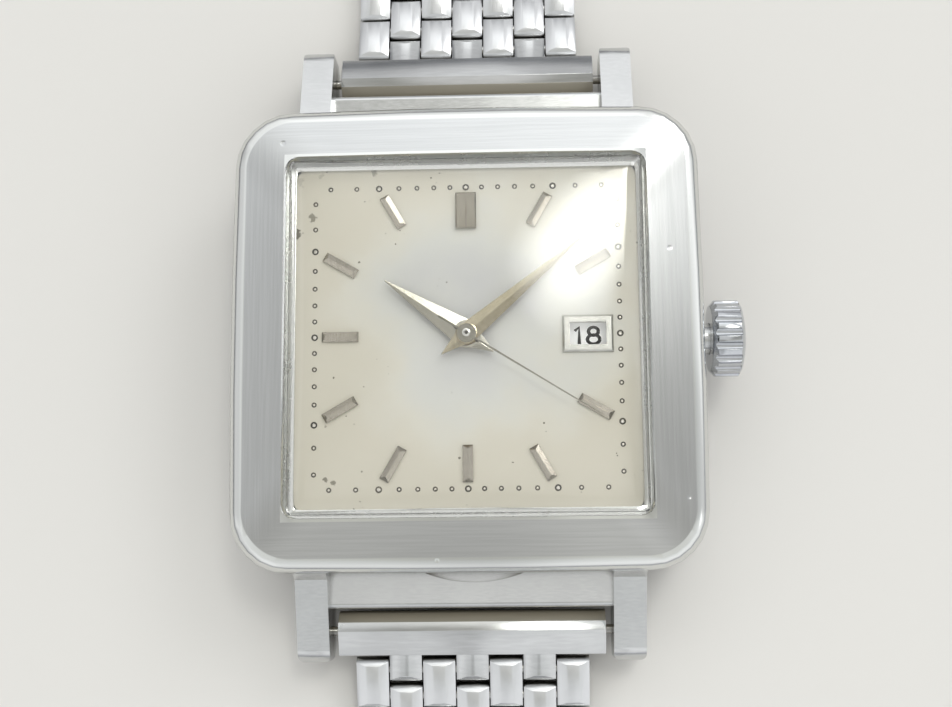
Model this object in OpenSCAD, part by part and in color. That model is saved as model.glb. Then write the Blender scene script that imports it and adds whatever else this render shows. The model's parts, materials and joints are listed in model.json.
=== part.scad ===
// Square automatic wristwatch with a domed acrylic crystal and an interleaved brick bracelet.
// +Z points out of the dial, +X to the crown and +Y to twelve. The origin is on the hand axis,
// in the plane of the case back. The watch lies open, with both bracelet halves stretched out.

/* [Case] */
// Width of the case across its bezel, left to right
case_w = 30; // [29.6:0.2:32]
// Length of the case across its bezel, twelve to six
case_l = 29.8; // [29.4:0.2:32]
// Rounding of the outer corners, in plan
corner_r = 3.7; // [3:0.1:4.5]
// How far each side of the bezel bows out at its middle
side_bow = 0.1; // [0:0.05:0.3]
// Height of the seam between the mid case and the bezel
seam_z = 6.95; // [6.9:0.05:7.3]
// Rise of the bezel from the seam to the rim of its opening
bezel_rise = 1.65; // [1.4:0.05:2]
// Width of the bezel's bars at three and nine
side_bar_w = 3.52; // [3.3:0.02:3.7]
// Width of the bezel's bars at twelve and six
end_bar_w = 3.35; // [3.15:0.05:3.55]
// Plan width of the polished bevel round the bezel
bevel_w = 0.95; // [0.6:0.05:1.3]
// Height of the polished bevel
bevel_h = 0.95; // [0.6:0.05:1.1]
// Wall of the mid case
case_wall = 2.5; // [2.2:0.1:2.7]
// Thickness of the case back outside the mid case
back_h = 1.6; // [1.3:0.1:1.8]
// Floor of the case back
back_floor = 0.8; // [0.5:0.1:0.9]
// How far the lower shelf between the lugs stands out from the case
shelf_d = 2.4; // [2.2:0.05:2.45]
// Height of the shelf's top
shelf_z = 4.2; // [3.6:0.1:4.6]

/* [Lugs] */
// Clear width between each pair of lugs
lug_gap = 18.1; // [17.8:0.1:18.3]
// Width of one lug
lug_w = 2.07; // [1.9:0.05:2.4]
// Length of a lug beyond the mid case
lug_l = 5.8; // [5.6:0.05:6.2]
// Height of the lug's top where it leaves the case
lug_root_z = 5.75; // [5.4:0.05:6]
// Fall of the lug's top, in degrees
lug_slope = 18.6; // [16:0.2:20]
// Length and height of the polished facet at the root of a lug
lug_facet = 0.55; // [0.3:0.05:0.7]
// Distance from the mid case to the spring bars
bar_out = 3.85; // [3.8:0.05:3.95]
// Height of the spring bars
bar_z = 2.3; // [2.2:0.05:2.4]

/* [Crystal] */
// Height of the crystal's bevelled shoulder over the rim of the bezel
shoulder_rise = 0.1; // [0:0.05:0.3]
// Rise of the dome over that shoulder
dome_rise = 1; // [0.7:0.05:1.3]
// Thickness of the crystal's dome
crystal_t = 0.7; // [0.6:0.05:0.75]
// Thickness of the crystal's side walls
crystal_wall = 0.6; // [0.5:0.05:0.7]
// Plan width of the bevel round the crystal
crystal_bevel = 0.4; // [0.3:0.05:0.5]

/* [Dial] */
// Thickness of the dial
dial_t = 0.35; // [0.3:0.05:0.4]
// Distance from the dial's edge to the middles of the hour markers
marker_inset = 2.93; // [2.8:0.01:3.1]
// Length of one hour marker
marker_l = 2.35; // [2:0.05:2.6]
// Width of one hour marker
marker_w = 0.64; // [0.5:0.02:0.8]
// Height of the markers
marker_h = 0.32; // [0.25:0.01:0.35]
// Width of the double marker at twelve
twelve_w = 1.32; // [1.2:0.02:1.5]
// Distance from the dial's edge to the middle of the date window
date_inset = 3.34; // [3.3:0.01:3.4]
// Width of the date window
date_w = 2.35; // [2.2:0.05:2.5]
// Height of the date window
date_l = 1.5; // [1.4:0.05:1.6]
// Border of the date frame
date_border = 0.45; // [0.3:0.05:0.5]

/* [Hands] */
// Length of the hour hand from the axis
hour_reach = 6.3; // [5.8:0.1:6.8]
// How far the minute hand stops short of the dial's edge
minute_short = 1.43; // [1.3:0.01:2]
// How far the seconds hand stops short of the dial's edge
seconds_short = 1.13; // [1.1:0.01:1.6]
// Length of the hands' tails
tail_reach = 2.1; // [1.8:0.1:2.4]
// Greatest width of the hour hand
hour_hand_w = 1.7; // [1.5:0.05:1.8]
// Greatest width of the minute hand
minute_hand_w = 1.3; // [1.1:0.05:1.4]
// Minutes past ten that the hands show
shown_minutes = 8.4; // [0:0.1:59]

/* [Crown] */
// Diameter of the crown over its flutes
crown_d = 5; // [4.6:0.1:5.4]
// Length of the crown
crown_l = 2.15; // [1.8:0.05:2.4]
// Number of flutes round the crown
flutes = 18; // [16:1:20]
// Height of the crown's axis
crown_z = 4.3; // [4.2:0.05:4.5]
// Diameter of the tube that the crown runs on
tube_d = 2.6; // [2.4:0.1:2.8]

/* [Movement] */
// Diameter of the movement
movement_d = 20.8; // [20.6:0.1:21]
// Distance from the plate's edge to the barrel's teeth
barrel_edge = 0.75; // [0.7:0.05:0.9]
// Distance from the plate's edge to the third wheel's teeth
third_edge = 3.55; // [3.5:0.01:3.6]
// Distance from the plate's edge to the balance wheel
balance_edge = 0.6; // [0.55:0.05:0.7]
// Breadth of the rotor's weight
rotor_weight_w = 3.1; // [2.6:0.1:3.6]

/* [Bracelet] */
// Thickness of a brick
brick_t = 1.6; // [1.5:0.02:1.66]
// Width of a brick
brick_w = 2.08; // [2:0.01:2.1]
// Side gap between neighbouring bricks
brick_gap = 0.085; // [0.07:0.005:0.11]
// Distance between the two pins of one brick
pin_pitch = 1.75; // [1.72:0.01:1.8]
// Diameter of the bracelet's pins
pin_d = 0.8; // [0.7:0.02:0.84]
// Radius of the crown across a brick's top
brick_crown = 2.4; // [1.8:0.1:3]
// Depth of the crown's top below the round ends
crown_sink = 0.06; // [0.03:0.01:0.1]
// Outer diameter of the rolled end piece
end_d = 2.6; // [2.4:0.05:2.6]
// Reach of the end piece's lip beyond the spring bar
end_lip = 1.55; // [1.5:0.05:1.6]
// Width of the end piece
end_w = 17.2; // [16.8:0.1:17.6]
// Fall of the end piece's tongues, in degrees
end_fall = 12; // [8:1:14]

/* [Clasp] */
// Width of the clasp frame
clasp_w = 16; // [15.6:0.1:16.6]
// Length of the clasp frame beyond its hinge
clasp_l = 24; // [22:0.5:26]
// Length of the knuckles on the clasp and the hook
knuckle_l = 2.2; // [2:0.1:2.4]
// Sheet thickness of the clasp
clasp_t = 0.6; // [0.5:0.05:0.7]
// Height of the frame's side walls
clasp_h = 2.4; // [2.2:0.1:2.6]
// Distance between the frame's rungs
rung_pitch = 3.2; // [3:0.1:3.4]
// Width of the hook's plate
hook_w = 12.4; // [12:0.1:13]
// Length of the hook's plate
hook_l = 8.4; // [7.5:0.1:9]
// Length of the cover's grip lines
grip_l = 8; // [6:0.5:10]

/* [Fits] */
// Radial gap of a running fit
run = 0.04; // [0.03:0.01:0.05]
// Gap between pieces that are fixed together
seat = 0.02; // [0.01:0.01:0.03]
// Gap between faces that pass each other
pass = 0.15; // [0.12:0.01:0.18]

/* [Hidden] */
link_count = 11;
single_links = 7;
LINKS_12 = [for (i = [1:link_count]) str("links_12_", i < 10 ? "0" : "", i)];
LINKS_6 = [for (i = [1:link_count]) str("links_6_", i < 10 ? "0" : "", i)];

steel = "#b9bcc0";
bright_steel = "#d4d6d8";
brass = "#c9a85a";
$fn = 48;

// Plan outlines: steps round each corner, and steps along each side
corner_steps = 6;
side_steps = 6;

// Case
mid_w = case_w - 0.3;
mid_l = case_l - 0.3;
mid_r = corner_r;
open_w = case_w - 2 * side_bar_w;
open_l = case_l - 2 * end_bar_w;
hollow_w = case_w - 2 * case_wall - 0.6;
hollow_l = case_l - 2 * case_wall - 0.4;
hollow_r = 1.6;
rim_z = seam_z + bezel_rise;
open_r = 0.8;
brush_w = case_w - 2 * bevel_w;
brush_l = case_l - 2 * bevel_w;
brush_r = corner_r - 0.7;
top_fall = 0.42;
corner_droop = 0.25;
ledge_z = seam_z + 0.25;
ledge_in = 0.8;
chamfer = 0.12;
lug_x = lug_gap / 2;
lug_reach = mid_l / 2 + lug_l;
bar_y = mid_l / 2 + bar_out;
lug_tip_r = 1.25;
lug_corner_r = 0.4;
lug_base_z = 0.9;
bar_r = 0.5;
bar_tip_r = 0.3;
bar_tip_l = 0.75;

// Crystal: from the rim that sits on the bezel's ledge up to the middle of the dome
glass_w = open_w - 0.4;
glass_l = open_l - 0.4;
glass_r = open_r + 0.1;
glass_foot_z = ledge_z + seat;
shoulder_z = rim_z + shoulder_rise - 0.45;
shoulder_top_z = shoulder_z + 0.4;
dome_z = shoulder_top_z + dome_rise;

// Heights inside the case, from the back to the dial
rotor_z = back_floor + 0.35;
bridge_z = 2.6;
plate_z = 3;
pocket_z = 4.9;
plate_top_z = 5.9;
motion_z = plate_top_z + 0.06;
dial_top_z = seam_z;
dial_z = dial_top_z - dial_t;
dial_w = open_w - 0.9;
dial_l = open_l - 0.9;
marker_x = dial_w / 2 - marker_inset;
marker_y = dial_l / 2 - marker_inset;
date_x = dial_w / 2 - date_inset;
minute_reach = min(dial_w, dial_l) / 2 - minute_short;
seconds_reach = min(dial_w, dial_l) / 2 - seconds_short;
hand_t = 0.2;
hand_gap = 0.06;
hour_hand_z = dial_top_z + marker_h + hand_gap;
minute_hand_z = hour_hand_z + hand_t + hand_gap;
seconds_hand_z = minute_hand_z + hand_t + hand_gap;

// Arbors that run inside one another on the hand axis
seconds_r = 0.16;
minute_bore_r = seconds_r + run;
minute_r = 0.44;
hour_bore_r = minute_r + run;
hour_r = 0.7;

// Train: teeth and places. Each tooth stands out_share of its module over its pitch circle. The barrel
// and the third wheel reach to the plate's edge, and the third wheel's two meshes share one distance
plate_r = movement_d / 2;
flange_w = 0.2;
out_share = 0.7;
in_share = 1.12;
barrel_teeth = 72;
center_pinion = 9;
center_teeth = 64;
third_pinion = 8;
third_teeth = 60;
fourth_pinion = 8;
fourth_teeth = 70;
escape_pinion = 7;
third_arbor_r = 0.3;
third_y = (plate_r - third_edge) / (1 + (third_teeth + 2 * out_share) / (third_teeth + fourth_pinion));
center_module = 2 * third_y / (center_teeth + third_pinion);
third_module = 2 * third_y / (third_teeth + fourth_pinion);
fourth_module = (third_y - third_arbor_r - 2 * run) / (fourth_teeth / 2 + out_share);
barrel_module = (plate_r - barrel_edge) / (barrel_teeth + center_pinion / 2 + out_share);
barrel_reach = barrel_module * (barrel_teeth + center_pinion) / 2;
barrel_turn = 135;
barrel_at = barrel_reach * [cos(barrel_turn), sin(barrel_turn)];
third_at = [0, -third_y];
escape_reach = fourth_module * (fourth_teeth + escape_pinion) / 2;
escape_turn = -10;
escape_at = escape_reach * [cos(escape_turn), sin(escape_turn)];
balance_d = plate_r - balance_edge - fourth_module * (fourth_teeth / 2 + out_share) - pass;
balance_reach = plate_r - balance_edge - balance_d / 2;
balance_turn = -35;
balance_at = balance_reach * [cos(balance_turn), sin(balance_turn)];
escape_r = 1.8;
line_of_fork = atan2(balance_at.y - escape_at.y, balance_at.x - escape_at.x);
fork_reach = 2.35;
fork_at = escape_at + fork_reach * [cos(line_of_fork), sin(line_of_fork)];
cock_foot_r = 1.8;
cock_l = balance_d / 2 + cock_foot_r;
cock_foot_at = balance_at + cock_l * [cos(balance_turn - 90), sin(balance_turn - 90)];
minute_wheel_teeth = 36;
cannon_teeth = 12;
hour_pinion = 10;
hour_teeth = 40;
minute_wheel_module = 0.1;
minute_wheel_reach = minute_wheel_module * (minute_wheel_teeth + cannon_teeth) / 2;
hour_module = 2 * minute_wheel_reach / (hour_teeth + hour_pinion);
minute_wheel_turn = 200;
minute_wheel_at = minute_wheel_reach * [cos(minute_wheel_turn), sin(minute_wheel_turn)];
rotor_r = plate_r - 0.3;
rotor_weight_h = 1.2;
stem_in = plate_r - 3;
rotor_post_r = 0.6;
pivot_r = 0.12;

// Bracelet: brick columns and the chain of hinges from the spring bar outwards
columns = 7;
brick_r = brick_t / 2;
column_pitch = brick_w + brick_gap;
link_pitch = 2 * pin_pitch;
end_lip_z = 0.55;
end_reach = end_lip + brick_r + 0.15;
hinge_1 = [bar_y + end_reach * cos(end_fall), bar_z - end_reach * sin(end_fall)];
link_fall = asin((hinge_1[1] - brick_r) / link_pitch);
hinge_2 = [hinge_1[0] + link_pitch * cos(link_fall), brick_r];
function pairs_of(i) = i <= single_links ? 1 : 2;
function hinge_y(i) =
  i == 1 ? hinge_1[0] : i == 2 ? hinge_2[0] : hinge_y(i - 1) + link_pitch * pairs_of(i - 1);
function hinge_z(i) = i == 1 ? hinge_1[1] : brick_r;
function fall_of(i) = i == 1 ? link_fall : 0;
clasp_y = hinge_y(link_count + 1);
knuckle_columns = [0, 2, 4, 6];
tongue_columns = [1, 3, 5];
function column_x(c) = (c - (columns - 1) / 2) * column_pitch;
cover_hinge_y = clasp_l - 1;
cover_hinge_z = clasp_h - brick_r - 0.5;
cover_pin_r = 0.4;
wall_end_r = 0.6;
cover_w = clasp_w + 2 * (clasp_t + pass);
cover_from = 4;
cover_side_h = 1.3;
grips = [7, 12, 17];
plate_from = knuckle_l - 0.6;
rung_r = 0.35;
rung_from = 6;

// Points of a square outline with round corners and sides bowed out by bow
function outline(w, l, r, bow = 0) = [
  for (q = [0:3])
    let (a = q % 2 == 0 ? w / 2 : l / 2, b = q % 2 == 0 ? l / 2 : w / 2)
      for (i = [0:side_steps + corner_steps - 1])
        let (
          t = -1 + 2 * i / side_steps,
          k = 90 * (i - side_steps) / corner_steps,
          p = i < side_steps
            ? [a + bow * (1 - t * t), t * (b - r)]
            : [a - r + r * cos(k), b - r + r * sin(k)]
        )
          [p.x * cos(90 * q) - p.y * sin(90 * q), p.x * sin(90 * q) + p.y * cos(90 * q)]
];

// The bezel's top falls from its opening to the bevel, and a little from mid side to corner
function top_z(p, fall) =
  let (s = max(abs(p.x), abs(p.y)), t = min(abs(p.x), abs(p.y)))
    rim_z - fall - corner_droop * (t / s) * (t / s);

function level(points, z) = [for (p = points) [p.x, p.y, z]];
function draped(points, fall) = [for (p = points) [p.x, p.y, top_z(p, fall)]];
// Pillow dome: it rises from straight, level edges of width w and length l
function domed(points, z, rise, w, l) = [
  for (p = points) [p.x, p.y, z + rise * (1 - pow(2 * p.x / w, 2)) * (1 - pow(2 * p.y / l, 2))]
];

// Skin over rings of points, each ring round the hand axis. An open skin is closed at its ends
module loft(rings, ring_shaped = true) {
  n = len(rings[0]);
  m = len(rings);
  last = ring_shaped ? m - 1 : m - 2;
  sides = [
    for (j = [0:last])
      for (i = [0:n - 1])
        let (next = (i + 1) % n, over = ((j + 1) % m) * n, a = j * n + i, b = j * n + next)
          each [[a, over + next, b], [a, over + i, over + next]]
  ];
  ends = ring_shaped ? [] : [
    [for (i = [0:n - 1]) i],
    [for (i = [n - 1:-1:0]) (m - 1) * n + i]
  ];
  points = [for (ring = rings) each ring];
  polyhedron(points = points, faces = concat(sides, ends), convexity = 6);
}

module rounded_square(w, l, r) {
  square([w - 2 * r, l], center = true);
  square([w, l - 2 * r], center = true);
  for (x = [-1, 1], y = [-1, 1]) {
    translate([x * (w / 2 - r), y * (l / 2 - r)]) circle(r);
  }
}

module block(w, l, r, z0, z1) {
  translate([0, 0, z0]) linear_extrude(z1 - z0) rounded_square(w, l, r);
}

module disc(r, z0, z1, at = [0, 0]) {
  translate([at.x, at.y, z0]) cylinder(r = r, h = z1 - z0);
}

// Bar of radius r along X, from x0 to x1
module bar(r, x0, x1, y = 0, z = 0) {
  translate([x0, y, z]) rotate([0, 90, 0]) cylinder(r = r, h = x1 - x0);
}

// Toothed outline with a pitch radius of module times teeth over two
module teeth(tooth_module, count, thick, phase = 0) {
  pitch_r = tooth_module * count / 2;
  step = 360 / count;
  root_r = pitch_r - in_share * tooth_module;
  tip_r = pitch_r + out_share * tooth_module;
  root_a = thick * step / 2;
  tip_a = root_a / 3;
  polygon([
    for (i = [0:count - 1])
      for (p = [[root_r, -root_a], [tip_r, -tip_a], [tip_r, tip_a], [root_r, root_a]])
        p[0] * [cos(phase + i * step + p[1]), sin(phase + i * step + p[1])]
  ]);
}

// Spoked wheel: teeth outside, a rim, four spokes and a hub
module train_wheel(tooth_module, count, z0, z1, hub_r) {
  rim_r = tooth_module * (count / 2 - in_share) - 0.3;
  translate([0, 0, z0]) linear_extrude(z1 - z0) {
    difference() {
      teeth(tooth_module, count, 0.42);
      circle(rim_r);
    }
    difference() {
      union() {
        square([2 * rim_r + 0.2, 0.36], center = true);
        square([0.36, 2 * rim_r + 0.2], center = true);
        circle(hub_r + 0.3);
      }
      circle(hub_r / 2);
    }
  }
}

module pinion(tooth_module, count, z0, z1, phase = 0) {
  translate([0, 0, z0]) linear_extrude(z1 - z0) teeth(tooth_module, count, 0.36, phase);
}

// One lug's side, in Y and Z: a facet at its root, a sloping top, a round tip and an arched underside
module lug_side() {
  root_y = mid_l / 2;
  tip_y = lug_reach - lug_tip_r;
  top_tip_z = lug_root_z - (tip_y - root_y) * tan(lug_slope);
  difference() {
    union() {
      polygon([
        [root_y - 0.7, back_h], [root_y - 2, back_h], [root_y - 2, lug_root_z + lug_facet],
        [root_y + 0.1, lug_root_z + lug_facet], [root_y + lug_facet, lug_root_z - lug_facet * tan(lug_slope)],
        [tip_y + lug_tip_r * sin(lug_slope), top_tip_z - lug_tip_r * sin(lug_slope) * tan(lug_slope)],
        [tip_y, lug_base_z], [root_y + 0.5, lug_base_z + 0.25]
      ]);
      translate([tip_y, top_tip_z - lug_tip_r / cos(lug_slope)]) circle(lug_tip_r);
      translate([tip_y, lug_base_z]) square([lug_tip_r, top_tip_z - lug_tip_r / cos(lug_slope) - lug_base_z]);
    }
    translate([lug_reach, lug_base_z - 0.35]) circle(0.9);
  }
}

// Lug: its side, cut to a plan with rounded corners at the tip
module lug() {
  difference() {
    intersection() {
      translate([lug_x, 0, 0]) rotate([90, 0, 90]) linear_extrude(lug_w) lug_side();
      linear_extrude(rim_z) {
        translate([lug_x, 0]) square([lug_w, lug_reach - lug_corner_r]);
        translate([lug_x + lug_corner_r, 0]) square([lug_w - 2 * lug_corner_r, lug_reach]);
        for (x = [lug_x + lug_corner_r, lug_x + lug_w - lug_corner_r]) {
          translate([x, lug_reach - lug_corner_r]) circle(lug_corner_r);
        }
      }
    }
    bar(bar_tip_r + run, lug_x - 1, lug_x + bar_tip_l + 0.15, bar_y, bar_z);
  }
}

// Lower shelf of the case between the lugs: flat on top, its front hollowed for the end piece
module shelf() {
  front = mid_l / 2 + shelf_d;
  roll = 0.35;
  z0 = back_h;
  translate([-lug_x - 0.5, 0, 0]) rotate([90, 0, 90]) linear_extrude(lug_gap + 1) difference() {
    union() {
      translate([mid_l / 2 - 1, z0]) square([1 + shelf_d - roll, shelf_z - z0]);
      translate([mid_l / 2 - 1, z0]) square([1 + shelf_d, shelf_z - z0 - roll]);
      translate([front - roll, shelf_z - roll]) circle(roll);
    }
    translate([bar_y, bar_z]) circle(end_d / 2 + 0.15);
  }
}

module mid_case() color(bright_steel) {
  difference() {
    union() {
      block(mid_w, mid_l, mid_r, back_h, seam_z - seat);
      for (x = [0, 1], y = [0, 1]) mirror([x, 0, 0]) mirror([0, y, 0]) lug();
      for (y = [0, 1]) mirror([0, y, 0]) shelf();
    }
    // Hollow for the movement and dial, and the step that takes the case back's gasket
    block(hollow_w, hollow_l, hollow_r, back_h - 1, seam_z + 1);
    block(hollow_w + 0.5, hollow_l + 0.5, hollow_r + 0.25, back_h - 1, back_h + 0.5);
    // Bore for the winding tube
    bar(tube_d / 2 - 0.3 + seat, hollow_w / 2 - 1, mid_w / 2 + 1, 0, crown_z);
    // Pry notch under the bezel at six
    translate([0.4, -mid_l / 2 - 2.6, seam_z - 0.35]) cylinder(r = 4, h = 1);
  }
}

module bezel() color(steel) {
  steps = 4;
  rim = outline(open_w, open_l, open_r);
  inner_foot = outline(open_w - 0.1, open_l - 0.1, open_r);
  ledge = outline(open_w - 2 * ledge_in, open_l - 2 * ledge_in, open_r);
  outer = outline(case_w, case_l, corner_r, side_bow);
  foot = outline(case_w - 2 * chamfer, case_l - 2 * chamfer, corner_r - chamfer, side_bow);
  tops = [
    for (k = [0:steps])
      let (t = k / steps, w = open_w + 2 * chamfer)
        draped(
          outline(
            w + (brush_w - w) * t, w + (brush_l - w) * t, open_r + chamfer + (brush_r - open_r - chamfer) * t,
            side_bow * t
          ),
          top_fall * t
        )
  ];
  bevels = [
    for (k = [1:steps])
      let (a = 90 - 90 * k / steps)
        [
          for (p = outline(
            brush_w + 2 * bevel_w * cos(a), brush_l + 2 * bevel_w * cos(a),
            brush_r + (corner_r - brush_r) * cos(a), side_bow
          )) [p.x, p.y, top_z(p, top_fall) - bevel_h * (1 - sin(a))]
        ]
  ];
  loft(concat(
    [level(ledge, seam_z), level(ledge, ledge_z), level(inner_foot, ledge_z), draped(rim, chamfer)],
    tops, bevels,
    [level(outer, seam_z + chamfer), level(foot, seam_z)]
  ));
}

// Skins of the crystal at a share s of its width: the dome above, and the hollow below
glass_top_w = glass_w - 2 * crystal_bevel;
glass_top_l = glass_l - 2 * crystal_bevel;
glass_in_w = glass_top_w - 2 * crystal_wall;
glass_in_l = glass_top_l - 2 * crystal_wall;
function glass_over(s) = domed(
  outline(glass_top_w * s, glass_top_l * s, glass_r * s), shoulder_top_z, dome_rise, glass_top_w, glass_top_l
);
function glass_under(s) = domed(
  outline(glass_in_w * s, glass_in_l * s, glass_r * s), shoulder_top_z - crystal_t, dome_rise,
  glass_in_w, glass_in_l
);

module crystal() color("#e8eef2", 0.35) {
  loft([
    glass_under(0.12), glass_under(0.4), glass_under(0.7), glass_under(1),
    level(outline(glass_in_w, glass_in_l, glass_r), glass_foot_z),
    level(outline(glass_w, glass_l, glass_r), glass_foot_z),
    level(outline(glass_w, glass_l, glass_r), shoulder_z),
    glass_over(1), glass_over(0.85), glass_over(0.6), glass_over(0.35), glass_over(0.12)
  ], ring_shaped = false);
}

// Case back: outer plate, and a spigot that clamps the movement ring
module case_back() color(steel) {
  back_w = mid_w - 1.6;
  back_l = mid_l - 1.6;
  difference() {
    union() {
      block(back_w - 0.8, back_l - 0.8, mid_r - 0.8, 0, 0.4);
      block(back_w, back_l, mid_r - 0.4, 0.4, back_h - seat);
      block(hollow_w - 0.1, hollow_l - 0.1, hollow_r, back_h - seat, plate_z - 0.1 - seat);
    }
    block(hollow_w - 1.5, hollow_l - 1.5, hollow_r - 0.6, back_floor, plate_z);
    disc(rotor_r + pass, back_floor, plate_z);
    // Notch for the opening tool
    translate([0, -back_l / 2, 0.4]) cube([5, 1, 0.9], center = true);
  }
}

module case_back_gasket() color("#26262a") {
  difference() {
    block(hollow_w + 0.5 - 2 * seat, hollow_l + 0.5 - 2 * seat, hollow_r + 0.2, back_h, back_h + 0.48);
    block(hollow_w - 0.1 + 2 * seat, hollow_l - 0.1 + 2 * seat, hollow_r, back_h - 1, back_h + 1);
  }
}

module case_tube() color(bright_steel) {
  difference() {
    union() {
      bar(tube_d / 2 - 0.3, hollow_w / 2 + 0.3, mid_w / 2 + 1.5, 0, crown_z);
      bar(tube_d / 2, mid_w / 2 + seat, mid_w / 2 + 0.3, 0, crown_z);
    }
    bar(0.5 + run, 0, mid_w, 0, crown_z);
  }
}

// Crown: fluted rim, chamfered ends, and a socket over the winding tube
module crown() color(bright_steel) {
  x0 = mid_w / 2 + 0.3 + pass + 0.4;
  r = crown_d / 2;
  difference() {
    translate([x0, 0, crown_z]) rotate([0, 90, 0]) {
      cylinder(r1 = r - 0.35, r2 = r, h = 0.35);
      translate([0, 0, 0.35]) cylinder(r = r, h = crown_l - 0.7);
      translate([0, 0, crown_l - 0.35]) cylinder(r1 = r, r2 = r - 0.3, h = 0.2);
      translate([0, 0, crown_l - 0.15]) cylinder(r1 = r - 0.3, r2 = r - 0.9, h = 0.15);
    }
    bar(tube_d / 2 - 0.3 + run, x0 - 1, mid_w / 2 + 1.5 + run, 0, crown_z);
    bar(0.3 + seat, x0, x0 + crown_l - 0.6, 0, crown_z);
    for (i = [0:flutes - 1]) {
      a = 360 * (i + 0.5) / flutes;
      bar(0.26, x0 - 1, x0 + crown_l - 0.3, (r + 0.08) * cos(a), crown_z + (r + 0.08) * sin(a));
    }
  }
}

// Stem: a thread in the crown, a smooth neck in the tube, and the winding and sliding pinions
module winding_stem() color(steel) {
  bar(0.3, stem_in, mid_w / 2 + 2.1, 0, crown_z);
  bar(0.5, hollow_w / 2 - 0.4, mid_w / 2 + 1.2, 0, crown_z);
  for (x = [0.2, 1.2]) translate([stem_in + x, 0, crown_z]) rotate([0, 90, 0]) pinion(0.1, 12, 0, 0.7);
}

module movement_ring() color("#9a9da1") {
  difference() {
    block(hollow_w - 2 * seat, hollow_l - 2 * seat, hollow_r, plate_z - 0.1, dial_z - seat);
    disc(plate_r + seat, 0, seam_z);
    disc(plate_r + flange_w, plate_top_z - 0.4, seam_z);
    bar(0.5 + pass, 0, mid_w, 0, crown_z);
  }
}

module main_plate() color(brass) {
  difference() {
    union() {
      disc(plate_r, plate_z, plate_top_z);
      disc(plate_r + flange_w - seat, plate_top_z - 0.4 + seat, plate_top_z);
    }
    disc(barrel_module * barrel_teeth / 2 + 0.3, plate_z - 1, pocket_z, barrel_at);
    disc(center_module * center_teeth / 2 + 0.3, plate_z - 1, pocket_z);
    disc(third_module * third_teeth / 2 + 0.3, plate_z - 1, pocket_z, third_at);
    disc(escape_r + 0.3, plate_z - 1, pocket_z, escape_at);
    disc(balance_d / 2 + 0.25, plate_z - 1, pocket_z, balance_at);
    disc(minute_r + run, 0, seam_z);
    for (at = [third_at, escape_at, fork_at, balance_at])
      disc(pivot_r + run, pocket_z - 1, pocket_z + 0.4, at);
    disc(0.5 + run, pocket_z - 1, pocket_z + 0.4, barrel_at);
    // Way for the stem and its pinions
    bar(0.82, stem_in - 0.2, plate_r + 1, 0, crown_z);
    translate([stem_in - 0.2, -0.82, plate_z - 1]) cube([2.9, 1.64, crown_z - plate_z + 1]);
  }
  translate([minute_wheel_at.x, minute_wheel_at.y, plate_top_z]) cylinder(r = 0.25, h = 0.4);
}

module cock_shape(grow) {
  intersection() {
    union() {
      translate(balance_at) circle(1.2 + grow);
      translate(cock_foot_at) circle(cock_foot_r + grow);
      translate(balance_at) rotate(balance_turn - 90) translate([0, -0.9 - grow]) {
        square([cock_l, 1.8 + 2 * grow]);
      }
    }
    circle(plate_r - 0.2 + grow);
  }
}

// Bridge over the train, open round the balance, with the rotor's post and bearing cap
module train_bridge() color("#c4c6c8") {
  difference() {
    union() {
      translate([0, 0, bridge_z]) linear_extrude(plate_z - seat - bridge_z) {
        difference() {
          circle(plate_r - 0.2);
          translate(balance_at) circle(balance_d / 2 + 0.1);
          cock_shape(pass);
        }
      }
      disc(rotor_post_r, rotor_z + rotor_weight_h - 0.55, bridge_z);
      disc(rotor_post_r + 0.5, rotor_z + rotor_weight_h - 0.6, rotor_z + rotor_weight_h - 0.4);
    }
    disc(seconds_r + run, bridge_z - 0.1, plate_z + 1);
    for (at = [third_at, escape_at]) disc(pivot_r + run, 0, plate_z + 1, at);
    disc(0.3 + run, 0, plate_z + 1, barrel_at);
    // Slot across the head of the rotor's screw
    translate([0, 0, rotor_z + rotor_weight_h - 0.6]) cube([1.6, 0.25, 0.2], center = true);
  }
}

module balance_cock() color("#c4c6c8") {
  difference() {
    translate([0, 0, bridge_z]) linear_extrude(plate_z - seat - bridge_z) cock_shape(0);
    disc(pivot_r + run, 0, plate_z + 1, balance_at);
  }
}

// Barrel: toothed drum with its lid, and the arbor that it turns on
module mainspring_barrel() color(brass) {
  drum_r = barrel_module * (barrel_teeth / 2 - in_share) - 0.1;
  translate([barrel_at.x, barrel_at.y, 0]) {
    disc(drum_r, plate_z + 0.4, pocket_z - 0.4);
    pinion(barrel_module, barrel_teeth, 4.2, 4.4);
    disc(0.5, pocket_z - 0.4, pocket_z + 0.3);
    disc(0.3, bridge_z + 0.1, plate_z + 0.4);
  }
}

// Centre wheel on its hollow arbor, with the pinion below it and the cannon pinion above
module center_wheel() color(brass) {
  difference() {
    union() {
      train_wheel(center_module, center_teeth, 4.6, 4.75, minute_r);
      disc(minute_r, 4.1, minute_hand_z + hand_t);
      pinion(barrel_module, center_pinion, 4.1, 4.5, barrel_turn + 180 / center_pinion);
      pinion(minute_wheel_module, cannon_teeth, motion_z + 0.05, motion_z + 0.28);
    }
    disc(minute_bore_r, 0, minute_hand_z + 1);
  }
}

module third_wheel() color(brass) {
  translate([third_at.x, third_at.y, 0]) {
    train_wheel(third_module, third_teeth, 3.7, 3.85, 0.3);
    pinion(center_module, third_pinion, 4.5, 4.83, 90 + 180 / third_pinion);
    disc(third_arbor_r, plate_z + 0.1, 4.5);
    disc(pivot_r, bridge_z + 0.1, pocket_z + 0.3);
  }
}

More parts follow.
